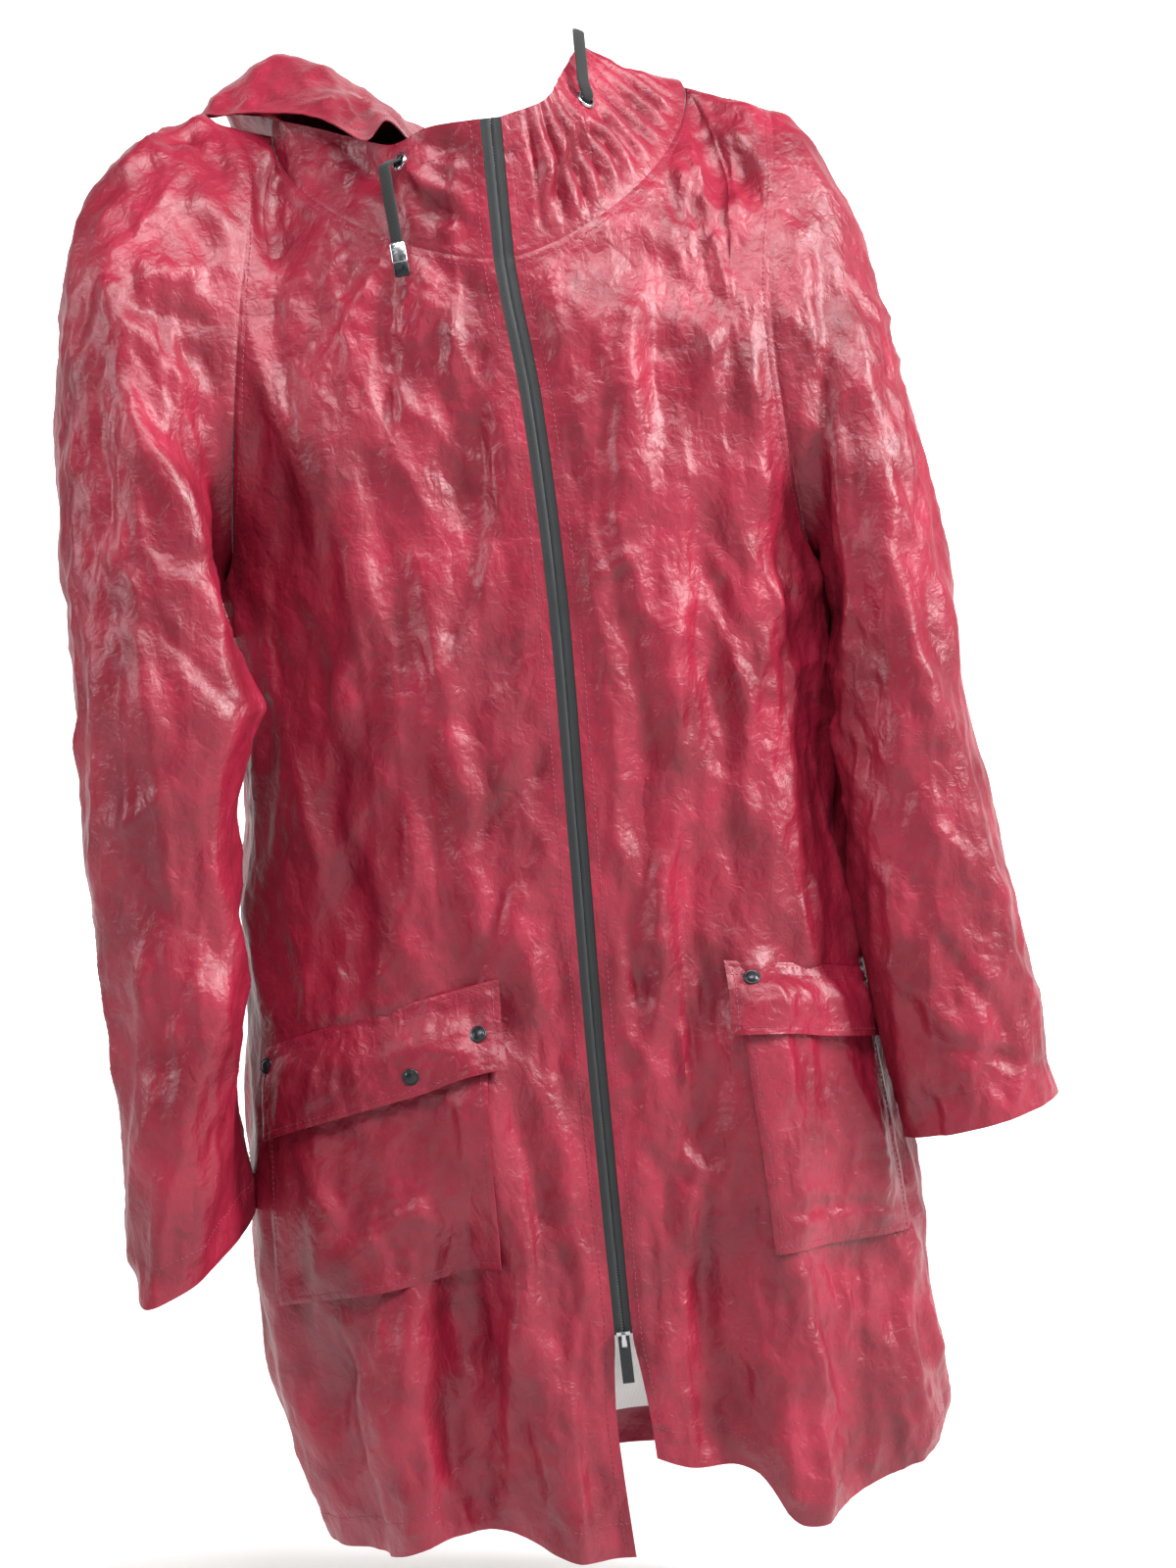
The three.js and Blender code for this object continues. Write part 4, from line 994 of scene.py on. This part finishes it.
# around, then x, y, z of rise, drop, crown and brim; None where the section runs straight to the brim
HOOD = {
    -1: [
        (0, None, None, None, (0.2, -110, -11.5)),
        (0.1, None, None, None, (-36, -101, -12)),
        (0.18, None, None, None, (-60, -80, -18)),
        (0.27, None, None, None, (-90, -46, -6)),
        (0.36, None, None, None, (-122, -24, 8)),
        (0.44, (-139, -8, 9), (-141, -4, 20), (-150, -1, 25), (-161, 1, 22)),
        (0.5, (-146, 6, 21), (-160, 18, 30), (-184, 24, 34), (-197, 11, 26)),
        (0.58, (-150, 34, 12), (-172, 62, 0), (-186, 46, 46), (-167, -11, 22)),
        (0.68, (-122, 72, -10), (-142, 118, -86), (-144, 55, 64), (-128, -34, 16)),
        (0.77, (-88, 84, -5), (-108, 140, -128), (-112, 60, 55), (-98, -66, 2)),
        (0.83, (-62, 84, 0), (-76, 146, -150), (-88, 50, 34), (-77, -89, -15)),
        (0.87, (-46, 83, 0), (-54, 148, -162), (-70, 74, 20), (-62, -70, 0)),
        (0.92, (-26, 82, 2), (-32, 150, -174), (-42, 112, 4), (-46, -8, -10)),
        (1, (10, 82, 4), (10, 150, -180), (10, 150, -40), (5, 105, 0)),
    ],
    1: [
        (0, None, None, None, (14.8, -110, -11.5)),
        (0.12, None, None, None, (45, -96, -2)),
        (0.26, None, None, None, (60, -62, 20)),
        (0.38, None, None, None, (74, -22, 40)),
        (0.5, (140, 4, 13), (130, 8, 18), (108, 10, 24), (84, 14, 30)),
        (0.58, (142, 34, 12), (138, 50, 8), (114, 48, 22), (86, 42, 18)),
        (0.68, (124, 66, 2), (136, 110, -70), (110, 100, 8), (80, 76, 8)),
        (0.8, (84, 80, 2), (96, 140, -140), (76, 130, -6), (60, 98, 4)),
        (0.9, (46, 82, 4), (52, 150, -170), (42, 146, -26), (35, 105, 2)),
        (1, (10, 82, 4), (10, 150, -180), (10, 150, -40), (5, 105, 0)),
    ],
}
HOOD_COLS = {-1: 190, 1: 230}
HOOD_ROWS = 92
HOOD_SPREAD = (0.1, 0.6)
CASING = 24.0
# Middle of the calm cloth round each eyelet, and the eyelet's own place on the dressed cloth
EYELET_AT = {-1: (-63, -97, -29), 1: (72, -66, -2.4)}
EYELET_ON_CLOTH = {-1: (-55.886, -89.034, -31.293), 1: (72.03, -65.653, -2.458)}


def neck_point(side, around):
    """A point of the neck seam, from the zip over the neck point to the middle of the back."""
    front = top_point(side, -1, np.minimum(around * 2, 1.0) * NECK_SHARE[-1])
    back = top_point(side, 1, (1 - np.clip(around * 2 - 1, 0.0, 1.0)) * NECK_SHARE[1])
    return np.where((around <= 0.5)[..., None], front, back)


def hood_grid(side):
    """Hood sections from the neck seam to the brim, each a rounded path through its waypoints."""
    rows = []
    for around, rise, drop, crown, brim in HOOD[side]:
        seam = neck_point(side, np.array(float(around)))
        edge = np.array(brim, float)
        way_points = ((rise, 0.25), (drop, 0.5), (crown, 0.75))
        ways = [mix(seam, edge, f) if w is None else np.array(w, float) for w, f in way_points]
        rows.append(np.concatenate([[around], *ways, edge]))
    around = np.linspace(0, 1, HOOD_COLS[side] + 1)
    ways = read_table(rows, around)[1:].reshape(4, 3, -1).transpose(0, 2, 1)
    points = np.concatenate([neck_point(side, around)[None], ways])
    t = spread(HOOD_ROWS, *HOOD_SPREAD)
    return np.swapaxes(rounded_path(points, t, False), 0, 1), around


GATHER_FROM, GATHER_TO, GATHER_COUNT, GATHER_HEIGHT = 0.01, 0.48, 11, 3.4


def near_eyelet(side, grid):
    """0 at the eyelet and 1 a little way from it."""
    return smooth(np.linalg.norm(grid - np.array(EYELET_AT[side], float), axis=-1) / 13.0 - 0.6)


def gathers(side, grid, around):
    """Gathers up the right side of the hood: rounded ridges with narrow valleys, none at the seam."""
    if side < 0:
        return 0.0
    up = spread(HOOD_ROWS, *HOOD_SPREAD)[None, :]
    share = ((around - GATHER_FROM) / (GATHER_TO - GATHER_FROM))[:, None] + 0.02 * slow_noise(grid / 40.0, 3)
    wave = np.abs(np.sin(share * GATHER_COUNT * math.pi)) * 2 - 1
    wave = wave * (0.75 + 0.45 * slow_noise(grid / 30.0, 8))
    fade = smooth(share * 8) * smooth((1 - share) * 8) * smooth(up * 7)
    return GATHER_HEIGHT * wave * fade * near_eyelet(side, grid)


# how the half lies, strength of its small creases
HOOD_LIES = {-1: ("folded", 0.5), 1: ("gathered", 0.2)}


def add_hood():
    """The two halves of the hood, folded back on the left and gathered up on the right, each with its eyelet."""
    for side in (-1, 1):
        base, around = hood_grid(side)
        held, strength = HOOD_LIES[side]
        grid = add_cloth(
            f"hood_{SIDE_NAME[side]}",
            base,
            side,
            [(0, False, ZIP_SEAM, (ZIP_STITCH,)), (1, False, SEAM, ()), (1, True, 0.0, (CASING,))],
            held,
            [f"cloth_front_{SIDE_NAME[side]}", "cloth_back"],
            inner_slot=0,
            creases=HOOD_CREASES,
            strength=strength * near_eyelet(side, base),
            extra=gathers(side, base, around),
        )
        add_eyelet(side, grid)


# radius and height, from the floor of the hole over the rim to the back
EYELET_PROFILE = [
    (0.3, 0.2), (4.4, 0.2), (4.7, 0.5), (4.8, 1.2), (5.1, 1.6), (5.7, 1.75), (6.3, 1.55), (6.8, 0.9), (7.0, 0.2),
    (6.8, -0.4), (0.3, -0.5),
]


def add_eyelet(side, grid):
    """A pressed eyelet: a rolled rim round a hole whose floor is a black disc, painted shade for the dark hole."""
    at, normal = nearest_place(grid, normals_of(grid) * side, EYELET_ON_CLOTH[side])
    # The floor of the hole and the foot of its wall take the black enamel: painted shade where the hole is dark
    slots = [1, 1] + [0] * (len(EYELET_PROFILE) - 3)
    rings = turned_rings(EYELET_PROFILE, at, normal, 48)
    eyelet = add_tube(f"eyelet_ring_{SIDE_NAME[side]}", rings, smooth_angle=35, slots=slots)
    declare(eyelet, ("nickel", "enamel_and_painted_shade"), [f"eyelet_{SIDE_NAME[side]}"])


# Zip

TAPE_DEPTH = 1.7
TAPE_WALL = 0.7
TAPE_UNDER = 3.0


def zip_line(side):
    """The zip edge of one side, from the slider up the front and the collar."""
    front = FRONTS[side][0]
    hood = hood_grid(side)[0][0]
    line = np.concatenate([front[front[:, 2] > SLIDER_Z], hood[1:]])
    z = np.linspace(SLIDER_Z, line[-1, 2], 300)
    return np.stack([np.interp(z, line[:, 2], line[:, k]) for k in range(3)], -1)


def add_zip():
    """Two laminated tapes that meet in a groove over the coil, just behind the edges of the fronts."""
    left, right = zip_line(-1), zip_line(1)
    middle = (left + right) / 2
    across = np.array([0.0, 0.04, 0.1, 0.2, 0.35, 0.55, 0.75, 0.9, 1.0])
    for side, edge in ((-1, left), (1, right)):
        reach = edge + (side * TAPE_UNDER, 0, 0)
        start = middle + (side * 0.12, 0, 0)
        grid = mix(start[None], reach[None], across[:, None, None])
        away = np.abs(grid[..., 0] - middle[None, :, 0])
        lips = 0.35 * bump(away - 2.2, 1.4) - 0.5 * bump(away, 0.8)
        grid[..., 1] += TAPE_DEPTH - lips + 0.12 * slow_noise(grid / 9.0, 12)
        obj = add_shell(f"zip_film_{SIDE_NAME[side]}", grid, side, wall=TAPE_WALL, inner_slot=0)
        declare(obj, ("tape",), [f"zip_tape_{SIDE_NAME[side]}"])
    add_coil(middle)


COIL_PITCH = 2.0
COIL_SWING, COIL_RISE, COIL_BEHIND, COIL_WIRE = 2.3, 0.9, 2.2, 0.42
COIL_STEPS = 6


def add_coil(middle):
    """The zip's coil behind the tapes: a rounded wire that swings from side to side, drawn 2 mm a turn."""
    turns = int(run_along(middle)[-1] / COIL_PITCH)
    t = np.linspace(0, 1, turns * COIL_STEPS + 1)
    place = np.stack([np.interp(t, np.linspace(0, 1, len(middle)), middle[:, k]) for k in range(3)], -1)
    angle = t * turns * 2 * math.pi
    behind = TAPE_DEPTH + COIL_BEHIND + COIL_RISE * np.sin(angle)
    path = place + np.stack([COIL_SWING * np.cos(angle), behind, 0 * angle], -1)
    rings = swept_rings(path, (0, 1, 0), 5, lambda a, run: (COIL_WIRE * np.cos(a), COIL_WIRE * np.sin(a)))
    declare(add_tube("zip_coil", rings), ("tape",))


# Cords, tips and stitches

CORD_WIDTH, CORD_THICK = 8.4, 2.0
CORD_ROUTE = {
    -1: [(-56.264, -89.48, -31.159), (-58.408, -92.007, -30.401), (-66, -105, -35), (-65.5, -109.5, -44),
         (-65, -112.5, -57), (-64, -115, -71), (-63, -117.5, -86)],
    1: [(72.413, -66.036, -2.2), (74.583, -68.205, -0.736), (72.5, -71, 9), (73, -58, 27), (73.5, -42, 41),
        (74, -27, 49.5), (74, -17, 50), (74, -8, 44), (74, -3, 33), (74, -1, 20)],
}
CORD_WIDTH_WAY = {-1: (0.763, -0.647, 0.0), 1: (0.707, 0.707, 0.0)}
TIP_WIDTH_WAY = {-1: (0.995, -0.066, 0.077), 1: (1.0, 0.0, 0.0)}


def swept_rings(path, width_way, sides, section):
    """Rings of a section carried along a path. The width direction turns as little as it can from point to
    point; section gives thickness and width offsets for an angle and a distance along."""
    tangent = unit(np.gradient(path, axis=0))
    width = np.empty_like(path)
    way = np.array(width_way, float)
    for k, heading in enumerate(tangent):
        way = way - heading * (way @ heading)
        way = way / np.linalg.norm(way)
        width[k] = way
    thick = np.cross(tangent, width)
    x, y = section(turn_angles(sides)[None, :], run_along(path)[:, None])
    x, y = np.broadcast_to(x, (len(path), sides)), np.broadcast_to(y, (len(path), sides))
    return path[:, None] + thick[:, None] * x[..., None] + width[:, None] * y[..., None]


BRAID_ACROSS, BRAID_ALONG = 2.8, 3.4


def braid_section(angle, run):
    """Flat braid: a rounded oval whose strands cross in diamonds 3.4 mm long."""
    x = CORD_THICK / 2 * np.cos(angle)
    y = CORD_WIDTH / 2 * np.sign(np.sin(angle)) * np.abs(np.sin(angle)) ** 0.8
    one_way, other_way = (np.sin(2 * math.pi * (y / BRAID_ACROSS + way * run / BRAID_ALONG)) for way in (1, -1))
    relief = 1.0 + 0.11 * np.maximum(one_way, other_way)
    return x * relief, y * (0.985 + 0.015 * relief)


# distance down the tip, share of its width and thickness, slot: 0 bright ferrule, 1 dark end
TIP_STATIONS = [
    (0.3, 0.84, 0.7, 0), (0.7, 0.96, 0.92, 0), (1.3, 1.0, 1.0, 0), (13.0, 1.0, 1.0, 0), (13.6, 0.97, 0.95, 0),
    (14.0, 0.9, 0.82, 1), (14.6, 0.9, 0.82, 1), (14.9, 0.98, 0.96, 1), (15.6, 1.02, 1.0, 1), (21.6, 1.0, 0.98, 1),
    (22.6, 0.93, 0.88, 1), (23.2, 0.75, 0.6, 1),
]
TIP_WIDTH, TIP_THICK = 10.4, 4.4


def squared(v):
    """A sine or cosine whose circle is drawn out to a rectangle with round corners."""
    return np.sign(v) * np.abs(v) ** 0.35


def add_cord_end(side, route):
    """The metal end of a cord: a rectangle with round corners carried down past the cord's last point."""
    heading = unit(route[-1] - route[-2])
    width = np.array(TIP_WIDTH_WAY[side], float)
    width = unit(width - heading * (width @ heading))
    thick = np.cross(heading, width)
    stations = np.array(TIP_STATIONS)
    angle = turn_angles(36)
    a = squared(np.cos(angle)) * TIP_WIDTH / 2
    b = squared(np.sin(angle)) * TIP_THICK / 2
    middle = route[-1] + stations[:, :1] * heading
    rings = middle[:, None] + (stations[:, 1:2] * a)[..., None] * width + (stations[:, 2:3] * b)[..., None] * thick
    tip = add_tube(f"cord_end_{SIDE_NAME[side]}", rings, smooth_angle=38, slots=stations[:-1, 3].astype(int))
    declare(tip, ("nickel", "enamel_and_painted_shade"), [f"cord_tip_{SIDE_NAME[side]}"])
    return tip


def add_cords():
    """The drawcord that comes out of each eyelet, with its metal end."""
    for side in (-1, 1):
        route = np.array(CORD_ROUTE[side], float)
        path = rounded_path(route, np.linspace(0, 1, 190), False)
        rings = swept_rings(path, CORD_WIDTH_WAY[side], 44, braid_section)
        cord = add_tube(f"drawcord_{SIDE_NAME[side]}", rings)
        declare(cord, ("braid",), [f"cord_{SIDE_NAME[side]}"])
        tip = add_cord_end(side, route)
        steps = rounded_path(route, np.linspace(0, 1, 30), False)


STITCH_PITCH, STITCH_LENGTH, STITCH_THICK = 3.8, 2.7, 0.34


def add_stitches():
    """Every noted line sewn with a short rounded thread each 3.8 mm: a four-sided spindle that dips at both ends."""
    along = np.array([-1.0, -0.55, 0.55, 1.0]) * STITCH_LENGTH / 2
    girth = np.array([0.15, 1.0, 1.0, 0.15]) * STITCH_THICK
    rise = np.array([-0.25, 0.1, 0.1, -0.25])
    angle = turn_angles(4)
    all_points = []
    for line, facing in STITCH_LINES:
        run = run_along(line)
        at = np.arange(STITCH_PITCH, run[-1] - STITCH_PITCH, STITCH_PITCH)
        read = lambda rows, where: np.stack([np.interp(where, run, rows[:, k]) for k in range(3)], -1)
        centre = read(line, at)
        ahead = unit(read(line, at + 1.2) - read(line, at - 1.2))
        up = read(facing, at)
        up = unit(up - ahead * (up * ahead).sum(-1, keepdims=True))
        beside = np.cross(ahead, up)
        spot = centre[:, None, None] + ahead[:, None, None] * along[None, :, None, None]
        spot = spot + up[:, None, None] * (rise[:, None] + girth[:, None] * np.sin(angle))[None, :, :, None]
        spot = spot + beside[:, None, None] * (girth[:, None] * np.cos(angle))[None, :, :, None]
        all_points.append(spot.reshape(-1, 16, 3))
    points = np.concatenate(all_points)
    ids = np.arange(16).reshape(4, 4)
    sides = halves(cells(np.concatenate([ids, ids[:, :1]], 1)))
    fan = np.array([[0, k, k + 1] for k in range(1, 3)])
    one = outwards(points[0], np.concatenate([sides, fan[:, ::-1], fan + 12]))
    faces = (one[None] + 16 * np.arange(len(points))[:, None, None]).reshape(-1, 3)
    obj = add_object("stitching", points.reshape(-1, 3), faces, np.zeros(len(faces)))
    declare(obj, ("thread",))


add_cords()
add_fronts()
add_back()
add_sleeves()
add_hood()
add_pockets()
add_zip()
add_stitches()


# Materials


def colour(hex_value):
    """sRGB hex to linear RGBA."""
    parts = [int(hex_value[i : i + 2], 16) / 255 for i in (1, 3, 5)]
    linear = [c / 12.92 if c <= 0.04045 else ((c + 0.055) / 1.055) ** 2.4 for c in parts]
    return (*linear, 1.0)


def add_node(tree, kind, settings=None, **links):
    """Adds a node, or takes one that is there, sets its properties, colour stops and inputs, and links output
    sockets to its inputs. _0 stands for the first input, and _ in a name for a space."""
    node = tree.nodes.new(kind) if isinstance(kind, str) else kind
    for key, value in (settings or {}).items():
        if key == "stops":
            for element, (position, hex_value) in zip(node.color_ramp.elements, value):
                element.position = position
                element.color = colour(hex_value)
        elif isinstance(key, str) and hasattr(node, key):
            setattr(node, key, value)
        else:
            node.inputs[key].default_value = value
    for key, socket in links.items():
        number = key[0] == "_"
        tree.links.new(socket, node.inputs[int(key[1:]) if number else key.replace("_", " ")])
    return node


def new_material(name):
    """An empty node material: gives it, its tree, its shader and the place on the piece."""
    material = bpy.data.materials.new(name)
    material.use_nodes = True
    tree = material.node_tree
    place = add_node(tree, "ShaderNodeTexCoord").outputs["Object"]
    return material, tree, tree.nodes["Principled BSDF"], place


def coated_cloth():
    """Polyurethane coating on thin polyester: deep wine red with a wet gloss and sharp small creases."""
    material, tree, shader, place = new_material("pu_coated_polyester")
    # Tone wanders over 60 mm patches
    tone = add_node(tree, "ShaderNodeTexNoise", {"Scale": 16.0, "Detail": 5.0, "Roughness": 0.6}, Vector=place)
    stops = {"stops": [(0.3, "#660a1e"), (0.72, "#8e1631")]}
    tint = add_node(tree, "ShaderNodeValToRGB", stops, _0=tone.outputs["Fac"])
    # Gloss breaks up over 25 mm patches
    gloss = add_node(tree, "ShaderNodeTexNoise", {"Scale": 40.0, "Detail": 4.0, "Roughness": 0.6}, Vector=place)
    limits = {"From Min": 0.3, "From Max": 0.7, "To Min": 0.38, "To Max": 0.52}
    rough = add_node(tree, "ShaderNodeMapRange", limits, Value=gloss.outputs["Fac"])
    # Crinkle of the coating: soft dents 7 mm across, and flat facets 10 mm and 24 mm wide with crisp edges, taller
    # than wide, whose outlines are bent by a noise
    dents = {"Scale": 150.0, "Detail": 4.0, "Roughness": 0.55, "Distortion": 1.0}
    small = add_node(tree, "ShaderNodeTexNoise", dents, Vector=place)
    upright = add_node(tree, "ShaderNodeVectorMath", {"operation": "MULTIPLY", 1: (1.0, 1.0, 0.55)}, _0=place)
    bend = add_node(tree, "ShaderNodeTexNoise", {"Scale": 30.0, "Detail": 3.0}, Vector=place)
    shift = {"operation": "MULTIPLY_ADD", 1: (0.03, 0.03, 0.03)}
    bent = add_node(tree, "ShaderNodeVectorMath", shift, _0=bend.outputs["Color"], _2=upright.outputs["Vector"])
    height = small.outputs["Fac"]
    for scale, gain in ((95.0, 0.6), (42.0, 2.2)):
        edges = {"feature": "DISTANCE_TO_EDGE", "Scale": scale}
        facet = add_node(tree, "ShaderNodeTexVoronoi", edges, Vector=bent.outputs["Vector"])
        total = {"operation": "MULTIPLY_ADD", 1: gain}
        height = add_node(tree, "ShaderNodeMath", total, _0=facet.outputs["Distance"], _2=height).outputs["Value"]
    crinkle = add_node(tree, "ShaderNodeBump", {"Strength": 0.55, "Distance": 0.0018}, Height=height)
    add_node(
        tree,
        shader,
        {"Coat Weight": 0.1, "Coat Roughness": 0.3, "Specular IOR Level": 0.45},
        Base_Color=tint.outputs["Color"],
        Roughness=rough.outputs["Result"],
        Normal=crinkle.outputs["Normal"],
    )
    return material


def knitted_backing():
    """Pale grey knitted polyester behind the coating: dull, with fine ribs drawn 1.6 mm apart, their grooves painted
    darker as painted shade so that they show.
    """
    material, tree, shader, place = new_material("knitted_backing")
    ribs = add_node(tree, "ShaderNodeTexWave", {"Scale": 300.0, "Distortion": 0.6, "Detail": 1.0}, Vector=place)
    # Painted shade: the ribs' grooves are darker grey, on the same wave that sinks them in the relief
    stops = {"stops": [(0.0, "#d2cfcf"), (1.0, "#ebe9e8")]}
    tint = add_node(tree, "ShaderNodeValToRGB", stops, _0=ribs.outputs["Fac"])
    relief = add_node(tree, "ShaderNodeBump", {"Strength": 0.25, "Distance": 0.0004}, Height=ribs.outputs["Fac"])
    links = {"Base_Color": tint.outputs["Color"], "Normal": relief.outputs["Normal"]}
    add_node(tree, shader, {"Roughness": 0.9}, **links)
    return material


def polyester_thread():
    """Spun polyester thread in the colour of the cloth: duller and a little darker, twisted every 1 mm."""
    material, tree, shader, place = new_material("polyester_thread")
    twist = add_node(tree, "ShaderNodeTexNoise", {"Scale": 900.0, "Detail": 2.0}, Vector=place)
    stops = {"stops": [(0.0, "#5c1226"), (1.0, "#93304a")]}
    tint = add_node(tree, "ShaderNodeValToRGB", stops, _0=twist.outputs["Fac"])
    add_node(tree, shader, {"Roughness": 0.6}, Base_Color=tint.outputs["Color"])
    return material


def laminated_tape():
    """Nylon tape under a thin film of polyurethane: near black with a green cast, satin, faint ribs 1.2 mm apart."""
    material, tree, shader, place = new_material("laminated_nylon_tape")
    wear = add_node(tree, "ShaderNodeTexNoise", {"Scale": 120.0, "Detail": 5.0, "Roughness": 0.65}, Vector=place)
    stops = {"stops": [(0.0, "#0d1012"), (1.0, "#1d2224")]}
    tint = add_node(tree, "ShaderNodeValToRGB", stops, _0=wear.outputs["Fac"])
    limits = {"From Min": 0.3, "From Max": 0.7, "To Min": 0.5, "To Max": 0.66}
    rough = add_node(tree, "ShaderNodeMapRange", limits, Value=wear.outputs["Fac"])
    bands = {"Scale": 400.0, "bands_direction": "Z", "Distortion": 0.4}
    ribs = add_node(tree, "ShaderNodeTexWave", bands, Vector=place)
    relief = add_node(tree, "ShaderNodeBump", {"Strength": 0.3, "Distance": 0.0003}, Height=ribs.outputs["Fac"])
    links = {"Base_Color": tint.outputs["Color"], "Normal": relief.outputs["Normal"]}
    add_node(tree, shader, Roughness=rough.outputs["Result"], **links)
    return material


def braided_polyester():
    """Flat polyester braid: dull black with a faint sheen; the raised spots of its fine relief are a little lighter,
    a painted highlight on the strands' backs.
    """
    material, tree, shader, place = new_material("braided_polyester")
    fibre = add_node(tree, "ShaderNodeTexNoise", {"Scale": 1400.0, "Detail": 3.0}, Vector=place)
    # Painted highlight: lighter where the same noise raises the relief
    stops = {"stops": [(0.0, "#050606"), (1.0, "#101213")]}
    tint = add_node(tree, "ShaderNodeValToRGB", stops, _0=fibre.outputs["Fac"])
    relief = add_node(tree, "ShaderNodeBump", {"Strength": 0.4, "Distance": 0.0003}, Height=fibre.outputs["Fac"])
    links = {"Base_Color": tint.outputs["Color"], "Normal": relief.outputs["Normal"]}
    add_node(tree, shader, {"Roughness": 0.8, "Sheen Weight": 0.1}, **links)
    return material


def worn_metal(name, low, high, rough_low, rough_high, metallic):
    """Pressed metal whose finish is rubbed in spots a few millimetres wide."""
    material, tree, shader, place = new_material(name)
    rub = add_node(tree, "ShaderNodeTexNoise", {"Scale": 380.0, "Detail": 4.0}, Vector=place)
    tint = add_node(tree, "ShaderNodeValToRGB", {"stops": [(0.0, low), (1.0, high)]}, _0=rub.outputs["Fac"])
    limits = {"From Min": 0.3, "From Max": 0.7, "To Min": rough_low, "To Max": rough_high}
    rough = add_node(tree, "ShaderNodeMapRange", limits, Value=rub.outputs["Fac"])
    links = {"Base_Color": tint.outputs["Color"], "Roughness": rough.outputs["Result"]}
    add_node(tree, shader, {"Metallic": metallic}, **links)
    return material


MATERIALS = {
    "cloth": coated_cloth(),
    "backing": knitted_backing(),
    "tape": laminated_tape(),
    "braid": braided_polyester(),
    # Nickel plate on the slider, its bridge and the eyelets: bright with a warm grey tone
    "nickel": worn_metal("nickel_plate", "#a9abb0", "#d4d6da", 0.16, 0.34, 1.0),
    # Black enamel on the snaps, the pull and the cord ends: dark with sharp small glints. The same black lines the
    # floor of each eyelet's hole as painted shade
    "enamel_and_painted_shade": worn_metal("black_enamelled_zinc_and_painted_shade", "#141518", "#2a2c30", 0.2, 0.42, 0.4),
    "thread": polyester_thread(),
}

for node in ("zip_slider", "zip_bridge", "zip_pull"):
    carried = bpy.data.objects[node]
    carried.data.materials.clear()
    FINISHES.append((carried, ("enamel_and_painted_shade",) if node == "zip_pull" else ("nickel",)))
for piece, finishes in FINISHES:
    for finish in finishes:
        piece.data.materials.append(MATERIALS[finish])


# Floor and light


# In metres, apart from the floor's height
FLOOR_FRONT, FLOOR_BACK, WALL_BEND, WALL_TOP, WALL_HALF = -5.0, 3.2, 0.9, 6.0, 6.0
FLOOR_Z = -1120.0


def add_backdrop():
    """A pale floor that curves up in a quarter circle into a wall behind the coat; its paint glows, painted light
    that keeps the wall white.
    """
    turn = np.linspace(0.1, math.pi / 2, 14)
    bend = np.stack([FLOOR_BACK + WALL_BEND * np.sin(turn), WALL_BEND * (1.0 - np.cos(turn))], -1)
    profile = [(FLOOR_FRONT, 0.0), (FLOOR_BACK, 0.0), *bend, (FLOOR_BACK + WALL_BEND, WALL_TOP)]
    line = np.array(profile) / MM
    sides = np.array([-WALL_HALF, WALL_HALF]) / MM
    grid = np.stack([np.stack([np.full(len(line), x), line[:, 0], line[:, 1] + FLOOR_Z], -1) for x in sides])
    faces = cells(np.arange(grid.shape[0] * grid.shape[1]).reshape(grid.shape[:2]))
    obj = add_object("backdrop", grid.reshape(-1, 3), faces, np.zeros(len(faces)))
    material, tree, shader, place = new_material("pale_paint_with_painted_glow")
    # Paler and brighter behind the coat than in front of it, over a metre of floor
    depth = add_node(tree, "ShaderNodeSeparateXYZ", _0=place).outputs["Y"]
    limits = {"From Min": -0.6, "From Max": 0.5, "To Min": 0.0, "To Max": 1.0}
    behind = add_node(tree, "ShaderNodeMapRange", limits, Value=depth)
    stops = {"stops": [(0.0, "#c9c8c6"), (1.0, "#fbfaf8")]}
    tint = add_node(tree, "ShaderNodeValToRGB", stops, _0=behind.outputs["Result"])
    # Painted light: the paint glows, faintly in front of the coat and strongly on the wall behind it, so that the
    # wall shows white
    limits = {"From Min": -0.3, "From Max": 3.2, "To Min": 0.05, "To Max": 0.85}
    glow = add_node(tree, "ShaderNodeMapRange", limits, Value=depth)
    paint_and_glow = {"Roughness": 0.9, "Emission Color": colour("#ffffff")}
    add_node(tree, shader, paint_and_glow, Base_Color=tint.outputs["Color"], Emission_Strength=glow.outputs["Result"])
    obj.data.materials.append(material)


def add_light(name, place, aim, size, power):
    """A soft white rectangular light that faces a point."""
    data = bpy.data.lights.new(name, "AREA")
    data.shape = "RECTANGLE"
    data.size, data.size_y = size
    data.energy = power
    obj = bpy.data.objects.new(name, data)
    obj.location = place
    away = np.array(place) - np.array(aim)
    flat = math.hypot(away[0], away[1])
    obj.rotation_euler = (math.atan2(flat, away[2]), 0.0, math.atan2(away[0], -away[1]))
    bpy.context.scene.collection.objects.link(obj)


add_backdrop()
add_light("light_above", (0.3, -1.3, 1.35), (0, 0, -0.25), (1.4, 0.5), 62)
add_light("light_left", (-2.4, -0.8, 0.6), (0, 0, -0.5), (0.4, 1.5), 40)
add_light("light_right", (2.4, -0.95, 0.8), (0, 0, -0.25), (0.5, 1.3), 136)
add_light("light_low", (0.5, -2.6, -0.6), (0, 0, -0.7), (1.6, 0.5), 6)
world = bpy.data.worlds.new("studio")
world.use_nodes = True
add_node(world.node_tree, world.node_tree.nodes["Background"], {0: colour("#ffffff"), 1: 0.12})
bpy.context.scene.world = world
bpy.context.scene.view_settings.view_transform = "Standard"
